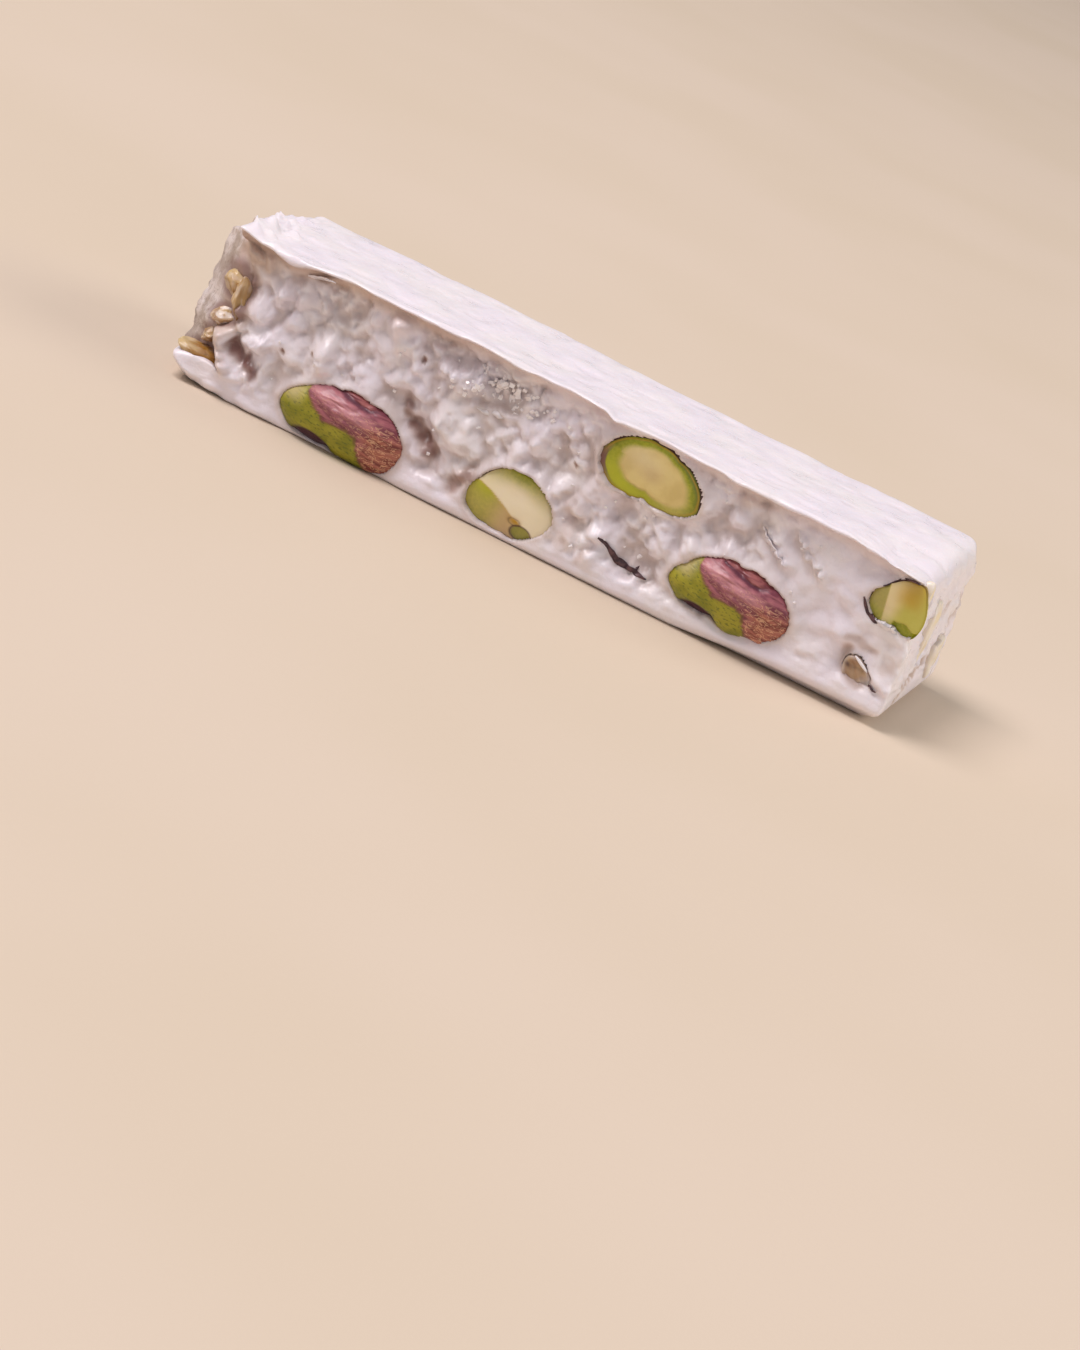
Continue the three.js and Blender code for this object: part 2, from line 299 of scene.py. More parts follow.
# A pistachio kernel in its dried skin: wrinkled, mauve and red-brown with a net of pale
# lines along the grain, and green where the skin has rubbed off.
def skinned_pistachio():
    material, tree = new_material("skinned pistachio")
    streaks = grit(tree, 0.6, 4, (4, 1, 1), grain=True, distortion=0.6)
    net = grit(tree, 0.45, 3, (2.6, 1, 1), grain=True, distortion=0.8)
    lines = times(tree, band(tree, net, 0.455, 0.5), band(tree, net, 0.545, 0.5))
    skin = tint(tree, band(tree, streaks, 0.36, 0.64), "#7A3A4A", "#A9646D")
    red = tint(tree, band(tree, streaks, 0.4, 0.6), "#7C3A34", "#B06A58")
    # band lays on a painted highlight, a pale pink band along the upper ridge
    skin = layers(tree, skin, ("band", 0.65, "#D2949A"), ("red", 1, red))
    skin = tint(tree, times(tree, times(tree, lines, weight(tree, "netted")), 0.7), skin, "#ECBA92")
    slow = grit(tree, 2.4, 3)
    bare = tint(tree, band(tree, slow, 0.35, 0.65), "#878614", "#A59E28")
    speckle = grit(tree, 0.24, 2, (2.6, 1, 1), grain=True)
    bare = tint(tree, times(tree, band(tree, speckle, 0.54, 0.66), 0.7), bare, "#55601A")
    bare = layers(tree, bare, ("pale", 0.8, "#CDBE86"))
    # dark lays on painted shade: dark purple in the hollow at the lower left and in the seam's groove
    colour = layers(tree, skin, ("bare", 1, bare), ("rind", 1, "#6A4026"), ("dark", 1, "#4E2036"))
    heights = [(streaks, 0.12), (net, 0.06)]
    finish_material(tree, colour, 0.38, heights, (0.08, 0.8, (1.0, 0.6, 0.4)), coat=0.12)
    return material


# The skin of a kernel alone: papery, dark mauve, paler where light comes through.
def dried_skin():
    material, tree = new_material("dried kernel skin")
    fibres = grit(tree, 0.8, 4)
    colour = tint(tree, band(tree, fibres, 0.4, 0.7), "#3A222C", "#6A4A4C")
    finish_material(tree, colour, 0.45, [(fibres, 0.08)], coat=0.1)
    return material


# Sugar crystals: clear and glossy, they catch the light as small glints.
def sugar_crystal():
    material, tree = new_material("sugar crystal")
    cloud = grit(tree, 0.3, 2)
    colour = tint(tree, cloud, "#FFFFFF", "#EFE4E6")
    finish_material(tree, colour, 0.12, [(cloud, 0.03)], coat=0.4)
    return material


# The card it lies on: matt uncoated board, with a faint drift of tone and a fine tooth.
def pale_card():
    material, tree = new_material("pale card")
    colour = tint(tree, band(tree, grit(tree, 90, 2), 0.3, 0.7), "#D5C5B2", "#D2C2AD")
    finish_material(tree, colour, 0.85, [(grit(tree, 0.6, 2), 0.02)])
    return material


NOUGAT = whipped_nougat()
CUT = cut_pistachio()
SKINNED = skinned_pistachio()
SKIN = dried_skin()
SUGAR = sugar_crystal()

# ---- the kernels' shapes ----

# Each kernel lies on a face of the stick: front and back are seen along Y, right along X.
# at is its middle on that face. Its crown stands out from the middle of the stick, its widest
# part lies at rim, and deep is how far it reaches in behind that. The outline is (across, up)
# in millimetres from its middle; without one it is an egg of the given size. tilt is in
# degrees, nose down towards the right.
KERNELS = {
    "kernel_whole_left": dict(
        face="front", kind="whole", at=(-26.3, 4.2), out=15.75, rim=13.0, deep=3.4, tilt=5,
        outline=[(-8.5, -0.6), (-8.0, 0.5), (-5.4, 2.4), (-1.7, 3.5), (2.4, 3.65), (6.3, 2.4),
                 (8.2, 0.6), (8.5, -1.6), (7.5, -3.5), (5.9, -4.1), (2.4, -4.2), (0.4, -4.15),
                 (-0.9, -3.8), (-4.0, -3.85), (-6.4, -3.2), (-7.7, -2.1)]),
    "kernel_whole_right": dict(
        face="front", kind="whole", at=(25.4, 6.3), out=15.6, rim=12.9, deep=3.4, tilt=8,
        outline=[(-8.0, -1.1), (-7.7, 0.4), (-6.1, 2.1), (-3.5, 3.7), (0.3, 4.1), (3.8, 3.7),
                 (6.2, 2.8), (7.7, 1.1), (8.0, -0.7), (7.5, -2.1), (5.9, -3.8), (4.3, -3.5),
                 (2.1, -4.3), (0.1, -4.0), (-1.2, -3.3), (-3.8, -3.45), (-6.0, -2.95)]),
    "kernel_split": dict(
        face="front", kind="split", at=(-3.3, 4.7), out=14.1, rim=13.0, deep=3.6, tilt=4,
        outline=[(-5.6, -2.4), (-5.8, -1.1), (-4.7, 1.3), (-2.9, 3.4), (0.2, 4.0), (3.3, 3.1),
                 (4.9, 1.8), (5.8, -0.1), (5.3, -1.7), (3.9, -3.1), (2.5, -4.0), (0.4, -4.1),
                 (-2.1, -4.0), (-4.1, -3.7)]),
    "kernel_halved": dict(
        face="front", kind="halved", at=(10.9, 15.45), out=13.7, rim=12.9, deep=2.8, tilt=13,
        outline=[(-6.9, -1.2), (-7.0, 0.3), (-6.1, 1.9), (-3.1, 3.6), (-0.5, 3.9), (2.5, 3.1),
                 (5.0, 1.9), (6.7, 0.1), (7.0, -1.9), (5.3, -3.1), (2.8, -3.5), (0.0, -3.2),
                 (-2.5, -3.6), (-5.1, -3.2)]),
    "kernel_corner": dict(
        face="front", kind="corner", at=(43.9, 14.2), out=13.5, rim=12.4, deep=2.6, tilt=10,
        outline=[(-3.6, -0.8), (-3.4, 0.9), (-2.3, 2.0), (-1.4, 3.0), (-0.2, 3.7), (0.9, 3.9),
                 (2.1, 3.7), (2.8, 2.4), (3.3, 1.2), (3.6, 0.0), (3.6, -1.4), (3.2, -2.6), (2.4, -3.1),
                 (1.6, -2.9), (0.6, -2.2), (-0.7, -2.2), (-2.0, -2.3), (-2.9, -1.7)]),
    "kernel_peeking": dict(
        face="front", kind="lump", at=(42.8, 5.2), out=13.3, rim=12.7, deep=2.2, tilt=40,
        outline=[(-1.9, 0.3), (-1.7, 1.2), (-0.8, 1.6), (0.3, 1.2), (1.1, 0.5), (2.0, -0.7),
                 (2.2, -1.4), (1.2, -1.6), (-0.2, -1.5), (-1.4, -1.0)]),
    "kernel_right_middle": dict(
        face="right", kind="slice", at=(-2.6, 10.6), out=48.2, rim=47.3, deep=3.2, tilt=70, size=(9.4, 6.2)),
    "kernel_right_rear": dict(
        face="right", kind="slice", at=(8.0, 5.6), out=49.6, rim=48.7, deep=3.0, tilt=10, size=(7.2, 5.8)),
    "corner_slice": dict(
        face="right", kind="slice", at=(-11.2, 15.8), out=46.9, rim=46.2, deep=1.5, tilt=84, size=(5.6, 2.2)),
    "kernel_back_1": dict(
        face="back", kind="halved", at=(31.0, 12.6), out=13.7, rim=12.9, deep=2.8, tilt=-18,
        size=(13.4, 7.4)),
    "kernel_back_2": dict(
        face="back", kind="whole", at=(13.5, 6.6), out=15.7, rim=13.0, deep=3.2, tilt=10, size=(16.0, 8.0)),
    "kernel_back_3": dict(
        face="back", kind="split", at=(-6.0, 13.0), out=13.9, rim=12.9, deep=3.0, tilt=30, size=(10.8, 7.8)),
    "kernel_back_4": dict(
        face="back", kind="halved", at=(-23.0, 6.0), out=14.0, rim=13.0, deep=3.0, tilt=-8, size=(13.0, 7.2)),
    "kernel_back_5": dict(
        face="back", kind="halved", at=(-37.5, 13.6), out=13.8, rim=12.9, deep=2.8, tilt=24,
        size=(11.6, 7.0)),
}

# The kernels in the broken corner: middle, size along X, Y and Z, turn in degrees, and how
# tan, amber, mauve and dusted with nougat each is
CORNER_KERNELS = {
    "kernel_left_upper": dict(
        at=(-45.6, -10.3, 13.3), size=(3.7, 3.6, 3.3), turn=24,
        tan=0.75, amber=0.12, mauve=0.0, dusted=0.25),
    "kernel_left_lower": dict(
        at=(-45.3, -11.0, 8.8), size=(3.8, 3.4, 2.4), turn=-10,
        tan=1.0, amber=0.0, mauve=0.45, dusted=0.7),
    "kernel_left_foot": dict(
        at=(-46.6, -11.8, 3.6), size=(6.4, 4.4, 2.3), turn=5,
        tan=0.5, amber=0.95, mauve=0.1, dusted=0.1),
    "amber_nut": dict(
        at=(-43.9, -12.3, 11.8), size=(2.3, 2.8, 5.2), turn=-10,
        tan=0.8, amber=0.45, mauve=0.1, dusted=0.3),
    "beige_nut": dict(
        at=(-46.4, -10.8, 5.9), size=(2.2, 2.4, 1.9), turn=-20,
        tan=1.0, amber=0.0, mauve=0.4, dusted=0.3),
}

RADIUS_STEPS = 360


def egg_outline(size):
    """A blunt egg, a little uneven."""
    turns = np.radians(np.arange(0, 360, 20))
    wobble = 1 + 0.035 * np.sin(3 * turns + size[0]) + 0.02 * np.sin(5 * turns + size[1])
    across = size[0] / 2 * np.cos(turns) * wobble
    up = size[1] / 2 * np.sin(turns) * (1 - 0.12 * np.cos(turns)) * wobble
    return list(zip(across, up))


def radii_of(kernel):
    """The outline's distance from its middle, for every degree, with softened corners."""
    outline = np.array(kernel.get("outline") or turned(egg_outline(kernel["size"]), -kernel["tilt"]))
    angles = np.degrees(np.arctan2(outline[:, 1], outline[:, 0])) % 360
    order = np.argsort(angles)
    distance = np.hypot(outline[:, 0], outline[:, 1])[order]
    radii = np.interp(np.arange(RADIUS_STEPS), angles[order], distance, period=360)
    soften = np.hanning(15) / np.hanning(15).sum()
    return np.convolve(np.concatenate([radii[-7:], radii, radii[:7]]), soften, "valid")


def turned(pairs, degrees):
    c, s = math.cos(math.radians(degrees)), math.sin(math.radians(degrees))
    return [(a * c - b * s, a * s + b * c) for a, b in pairs]


for kernel in KERNELS.values():
    kernel["radii"] = radii_of(kernel)


def reach_of(kernel, across, up):
    """How far a place on the kernel's face is from its middle, where the outline is 1."""
    a, b = across - kernel["at"][0], up - kernel["at"][1]
    angle = np.degrees(np.arctan2(b, a)) % 360
    return np.hypot(a, b) / np.interp(angle, np.arange(RADIUS_STEPS), kernel["radii"], period=360)


def kernels_on(face):
    return [kernel for kernel in KERNELS.values() if kernel["face"] == face]


def on_face(face, across, up, out):
    """Points of the frame from places on a face and their distance from the stick's middle."""
    if face == "front":
        return np.stack([across, -out, up], axis=1)
    if face == "back":
        return np.stack([-across, out, up], axis=1)
    return np.stack([out, across, up], axis=1)


# ---- the nougat ----

# How far the sides stand out, by height
SIDE_PROFILE = [(0, 0.1), (1, 0.5), (2.4, 0.35), (5, -0.2), (10, -0.5), (14, -0.8), (18.0, -1.4),
                (20, -1.2)]
# How far the rim of the underside lifts, by place along
RIM_LIFT = [(-49.2, 3.0), (-48.2, 2.0), (-45.3, 0.5), (-40.4, 0.1), (-38, 0), (20, 0), (28, 0.8),
            (34, 1.1), (42, 1.2), (48, 1.2)]
# Hollows in the front: place along, place up, radius and depth
HOLLOWS = [(-34.5, 14.6, 4.4, 1.3), (-17.2, 7.4, 2.2, 1.9), (-11.2, 15.4, 4.8, 0.6),
           (9.5, 8.6, 3.6, 0.9), (41.8, 5.6, 2.8, 1.3), (-12.5, 9.5, 2.2, 0.7), (0.5, 11.5, 2.6, 0.7),
           (-24.5, 12.5, 2.8, 0.8)]
# Marks in the front: a line of (along, up), its reach, its depth, and how tan and brown it is
MARKS = [
    ([(-20.2, 9.6), (-19.2, 8.4)], 0.9, 0.5, 0.7, 0.65),
    ([(-18.2, 7.6), (-16.4, 6.5), (-14.8, 5.2)], 1.1, 1.0, 0.85, 0.8),
    ([(-42.3, 6.8), (-40.7, 5.7), (-38.6, 4.5)], 1.0, 0.8, 0.6, 0.9),
    ([(-10.8, 3.4), (-10.2, 4.6), (-9.2, 5.6)], 1.2, 0.4, 0.85, 0.6),
    ([(6.9, 2.1), (7.7, 3.9)], 0.6, 0.2, 0.5, 0.0),
    ([(22.2, 17.2), (22.1, 18.2), (24.5, 18.2)], 1.3, 0.7, 0.6, 0.0),
    ([(24.6, 15.5), (26.3, 14.1), (28.6, 12.9)], 0.6, 0.5, 0.3, 0.0),
    ([(29.2, 16.2), (31.0, 14.5), (33.0, 13.2)], 0.6, 0.5, 0.3, 0.0),
    ([(-11.8, 13.5), (-9.1, 14.1), (-7.2, 14.1)], 0.45, 0.5, 0.6, 0.1),
    ([(40.3, 8.4), (41.8, 8.5), (43.7, 8.0)], 0.6, 0.3, 0.5, 0.15),
    ([(45.6, 6.7), (46.6, 7.0)], 0.8, 0.2, 0.5, 0.0),
    ([(2.8, 8.6), (4.6, 6.6), (4.2, 3.4)], 1.3, 0.4, 0.5, 0.0),
    ([(40.7, 6.9), (41.2, 4.6), (43.6, 3.4)], 1.0, 0.5, 0.8, 0.2),
    ([(-36.6, 8.6), (-36.5, 8.5)], 0.35, 0.4, 0.9, 0.9),
    ([(-32.9, 10.0), (-32.8, 9.9)], 0.3, 0.3, 0.9, 0.8),
    ([(-20.2, 14.8), (-20.1, 14.7)], 0.35, 0.3, 0.9, 0.9),
    ([(1.9, 11.9), (2.0, 11.8)], 0.35, 0.3, 0.9, 0.8),
]
# Crumbly flakes and smooth lumps that stand out: a line, its reach, its height, how crumbly
FLAKES = [
    ([(25.6, 15.6), (27.2, 14.3), (29.5, 13.1)], 0.55, 0.7, 0.8),
    ([(30.1, 16.6), (31.8, 14.8), (33.9, 13.6)], 0.7, 0.8, 1.0),
    ([(-44.4, 7.6), (-43.4, 5.4), (-42.2, 3.4)], 1.1, 1.5, 0.0),
    ([(38.2, 8.9), (39.6, 8.6)], 1.2, 0.8, 0.0),
    ([(46.2, 5.4), (46.9, 5.0)], 1.2, 0.7, 0.0),
    ([(-12.6, 12.8), (-9.4, 13.2), (-6.8, 13.4)], 0.6, 0.7, 0.2),
]
# Marks in the right end: a line of (across, up), its reach, its depth, and how tan it is
END_MARKS = [
    ([(9.0, 7.6), (5.0, 6.6), (1.0, 5.6), (-3.4, 4.4), (-6.6, 3.0), (-8.0, 1.2)], 1.2, 0.3, 1.0),
    ([(6.0, 13.0), (2.0, 11.5), (-3.5, 9.5)], 1.0, 0.3, 0.6),
    ([(13.0, 14.0), (10.5, 10.0)], 1.2, 0.2, 0.6),
]
# How far the right end swells, by height
END_PROFILE = [(0, 0.9), (1.5, 1.15), (4, 1.15), (8, 0.9), (13, 0.35), (17, 0.15), (20, 0.2)]
# The left end, where the broken corner starts along the front by height, how far it reaches
# back, and the place along beyond which its kernels lie
LEFT_END = -49.7
LEFT_EDGE = [(1.2, -48.6), (2.5, -43.4), (3.2, -42.8), (4.2, -43.6), (5.4, -44.1), (7.0, -45.3),
             (7.8, -44.9), (8.6, -43.4), (10, -43.0), (13.8, -43.3), (15.6, -44.2), (17, -45.6),
             (18.3, -46.9), (19.3, -47.4)]
BREAK_WIDTH = 5.2
BREAK_START = -41
# Between these places along, the crumbly front turns into a smeared one
SMEARED_FROM, SMEARED_TO = 20, 34
# The lower edge of the lip that the top skin makes over each side
FRONT_LIP, BACK_LIP = 19.45, 19.1
# How much what stands out hangs, and how far from each end its shape is felt
SAG = 0.35
END_REACH = 12


def front_relief(x, z):
    """How far the front stands out, and its colour weights, painted shade among them."""
    p = plane_points(x, z)
    crumbly = 1 - 0.72 * ramp(SMEARED_FROM, SMEARED_TO, x)
    middle = ramp(1.3, 3.8, z) * ramp(19.2, 17.8, z)
    patch = bump(x, -12, 6.5) * bump(z, 16.4, 2.2)
    left_patch = bump(x, -33.5, 5) * bump(z, 15.6, 2.4)
    warped = p + 0.5 * np.stack([lumps(p, 2.4, 21.0), lumps(p, 2.4, 31.0), 0 * x], axis=1)
    broad = 1.1 * lumps(p, 5.4, 2.0) + 1.1 * (puffs(p, 3.3) - 0.3) + 0.9 * (beads(warped, 3.2, 5.0) - 0.5)
    fine = 0.6 * (beads(warped, 1.6, 7.0) - 0.5) + 0.26 * (beads(warped, 0.9, 9.0) - 0.5)
    calm = ramp(-0.1, 0.45, lumps(p, 6, 41.0)) * (1 - patch)
    bubbly = (0.75 + 0.5 * bump(x, 6, 14) + 1.5 * patch + 0.7 * left_patch) * (1 - 0.75 * calm)
    crumbs = broad + fine * bubbly
    holes = pits(p, 2.1, 0.25) * 0.5 + pits(p, 1.0, 0.16, 4.0) * 0.25
    cracks = ramp(0.28, 0.02, puffs(warped, 2.0, 14.0)) * (0.15 + 0.5 * patch + 0.5 * left_patch)
    rough = middle * crumbly * (crumbs - holes - 0.6 * cracks)
    slanted = plane_points(x * 0.8 + z * 0.6, z * 0.8 - x * 0.6)
    folds = middle * (1 - crumbly) * 0.8 * lumps(slanted, (3.0, 9, 1), 3.0)
    film = ramp(3.6, 2.0, z) * (0.2 - 0.13 * ramp(0, 25, x)) * lumps(p, (9, 0.8, 1), 9.0)
    film += ramp(4.5, 2.5, z) * 0.35 * ramp(-20, -34, x) * (puffs(p, (3.0, 1.7, 1), 5.0) - 0.4)
    relief = along(SIDE_PROFILE, z) + rough + folds + film
    for a, b, radius, depth in HOLLOWS:
        relief -= depth * bump(np.hypot(x - a, z - b), 0, radius * 0.72)
    for line, reach, height, crumbling in FLAKES:
        ragged = 1 - crumbling + crumbling * 1.6 * beads(p, 0.9, 3.0)
        relief += height * near_line(x, z, line, reach) * ragged
    stain_and_shade, brown = np.zeros_like(x), np.zeros_like(x)
    for line, reach, depth, tan, dark in MARKS:
        mark = near_line(warped[:, 0], warped[:, 1], line, reach)
        relief -= depth * mark
        stain_and_shade = np.maximum(stain_and_shade, tan * ramp(0.0, 1.0, mark))
        brown = np.maximum(brown, dark * ramp(0.25, 1.0, mark + 0.3 * (puffs(p, 1.1, 2.0) - 0.5)))
    lengthwise = plane_points(x, x * 0)
    lip_low = FRONT_LIP + 0.3 * lumps(lengthwise, 4, 2.0) - 0.7 * bump(x, -40, 2.5) - 0.35 * bump(x, 28, 6)
    lip_out = 0.3 + 0.45 * lumps(lengthwise, 3, 6.0) + 1.1 * ramp(-2, 4.6, x) * ramp(5.6, 4.4, x)
    lip = ramp(lip_low - 0.3, lip_low + 0.35, z)
    relief = mix(relief, lip_out, lip)

    # Painted shade: grey in the low places between crumbs, in pits and in cracks, and tan under the lip of
    # the top skin and between crumbs
    shade = middle * crumbly * np.maximum(ramp(-0.35, -1.0, crumbs), 0.8 * ramp(0.1, 0.45, holes + cracks))
    under_lip = ramp(lip_low - 2.6, lip_low - 0.2, z) * (1 - lip) * (0.4 + 0.6 * ramp(-4, -20, x))
    between_crumbs = 0.4 * middle * crumbly * ramp(-0.2, -1.2, crumbs)
    stain_and_shade = np.maximum(stain_and_shade, under_lip + between_crumbs) * (1 - 0.6 * patch)
    edge = 1.0 + 0.03 * lumps(p, 2.0, 5.0)
    for kernel in kernels_on("front"):
        near = np.abs(x - kernel["at"][0]) < 14
        far = np.full_like(x, 9.0)
        far[near] = reach_of(kernel, x[near], z[near])
        inside = ramp(0.99, 0.92, far / edge)
        # A pocket behind the kernel, and a collar of nougat that comes up to it all round
        pocket = kernel["rim"] - HALF_WIDTH - 0.4 - 1.3 * np.sqrt(1 - np.clip(far, 0, 1) ** 2)
        relief = mix(relief, pocket, inside)
        level = {"whole": -0.25, "corner": -0.9}.get(kernel["kind"], kernel["out"] - HALF_WIDTH + 0.08)
        collar = 0.85 * bump(far, 1.0, 0.17) * (1 - inside) * (far > 0.97)
        relief = mix(relief, level + 0.12 * puffs(p, 1.6, 1.0), collar)
        stain_and_shade = np.maximum(stain_and_shade, 0.5 * bump(far, 1.0, 0.06) + 0.15 * bump(far, 1.1, 0.2))
    # The painted shade is made deeper over the two crumbly patches
    return relief, shade + (0.35 * left_patch + 0.2 * patch) * middle, stain_and_shade, brown


def back_relief(x, z):
    """The back, sawn in the same way."""
    p = plane_points(x, z, 50.0)
    middle = ramp(2.2, 4.5, z) * ramp(18.8, 17.2, z)
    crumbs = 0.7 * lumps(p, 5.5, 2.0) + 0.9 * (puffs(p, 3.4) - 0.3) + 0.35 * (puffs(p, 1.7, 7.0) - 0.3)
    holes = pits(p, 2.1, 0.25) * 0.5
    relief = along(SIDE_PROFILE, z) + middle * (crumbs - holes)
    relief += ramp(3.6, 2.0, z) * 0.16 * lumps(p, (9, 0.7, 1), 9.0)
    lengthwise = plane_points(x, x * 0, 50.0)
    lip_low = BACK_LIP + 0.4 * lumps(lengthwise, 5, 2.0)
    lip_out = 0.4 + 0.3 * lumps(lengthwise, 4, 6.0)
    lip = ramp(lip_low - 0.3, lip_low + 0.35, z)
    relief = mix(relief, lip_out, lip)
    # Painted shade in the low places and pits, and a tan painted shadow under the lip
    shade = middle * np.maximum(ramp(-0.35, -1.0, crumbs), 0.8 * ramp(0.1, 0.45, holes))
    stain_and_shade = 0.5 * ramp(lip_low - 2.6, lip_low - 0.2, z) * (1 - lip)
    for kernel in kernels_on("back"):
        far = reach_of(kernel, -x, z)
        inside = ramp(1.0, 0.9, far)
        relief = mix(relief, kernel["rim"] - HALF_WIDTH - 1.6, inside)
        relief += 0.35 * bump(far, 1.13, 0.1) * (1 - inside)
        stain_and_shade = np.maximum(stain_and_shade, 0.6 * bump(far, 1.0, 0.07))
    return relief, shade, stain_and_shade


def left_end(y, z):
    """Where the left end lies along X, broken at its front corner behind a thin torn sheet."""
    from_front = np.clip((y + HALF_WIDTH) / BREAK_WIDTH, 0, 1)
    corner = (along(LEFT_EDGE, z) - LEFT_END) * (1 - from_front) ** 0.6
    rear = 4.4 * ramp(-7, 15.4, y)
    skin_short = 2.3 * ramp(17.4, 18.3, z) * from_front * ramp(4, -4, y)
    return LEFT_END + corner + rear + skin_short


def right_end(y, z):
    """Where the right end lies along X, swollen below, rounded over above."""
    end = mix(46.5, 48.7, (y + HALF_WIDTH) / WIDTH) + along(END_PROFILE, z)
    over = np.clip(z - HEIGHT + 3, 0, 3)
    return end - (3 - np.sqrt(9 - over ** 2))


def nougat_block():
    bm = bmesh.new()
    bmesh.ops.create_cube(bm, size=1)
    bmesh.ops.scale(bm, vec=(LENGTH, WIDTH, HEIGHT), verts=bm.verts)
    bmesh.ops.translate(bm, vec=(0, 0, HEIGHT / 2), verts=bm.verts)
    for axis, steps in enumerate(NOUGAT_STEPS):
        edges = [e for e in bm.edges if abs(e.verts[0].co[axis] - e.verts[1].co[axis]) > 1e-3]
        bmesh.ops.subdivide_edges(bm, edges=edges, cuts=steps - 1, use_grid_fill=True)
    return bm


def end_move(x, y, z, flat):
    """How far along X each place moves to give the ends their shape."""
    move = np.zeros_like(x)
    ends = np.abs(x) > HALF_LENGTH - END_REACH
    x, y, z, flat = x[ends], y[ends], z[ends], flat[ends]
    face = plane_points(y, z, 80.0)
    face[:, 2] += np.sign(x) * 20
    end = np.where(x < 0, left_end(y, z) + HALF_LENGTH, right_end(y, z) - HALF_LENGTH)
    crumbs = 0.9 * (puffs(face, 3.6) - 0.4) + 0.45 * (puffs(face, 1.3, 4.0) - 0.4)
    crumbs *= ramp(2.5, 4, z) * ramp(19.5, 17.5, z)
    here = ramp(HALF_LENGTH - END_REACH, HALF_LENGTH, np.abs(x)) * end
    here += np.sign(x) * flat * crumbs * np.where(x < 0, 0.8, 0.45)
    # A shallow place beside the kernel at the right corner
    here -= 0.4 * (x > 0) * flat * bump(y, -13.5, 2.5) * bump(z, 14.2, 3.2)
    for kernel in kernels_on("right"):
        inside = ramp(1.0, 0.9, reach_of(kernel, y, z)) * (x > 0) * flat
        here = mix(here, kernel["rim"] - 1.6 - HALF_LENGTH, inside)
    move[ends] = here
    return move


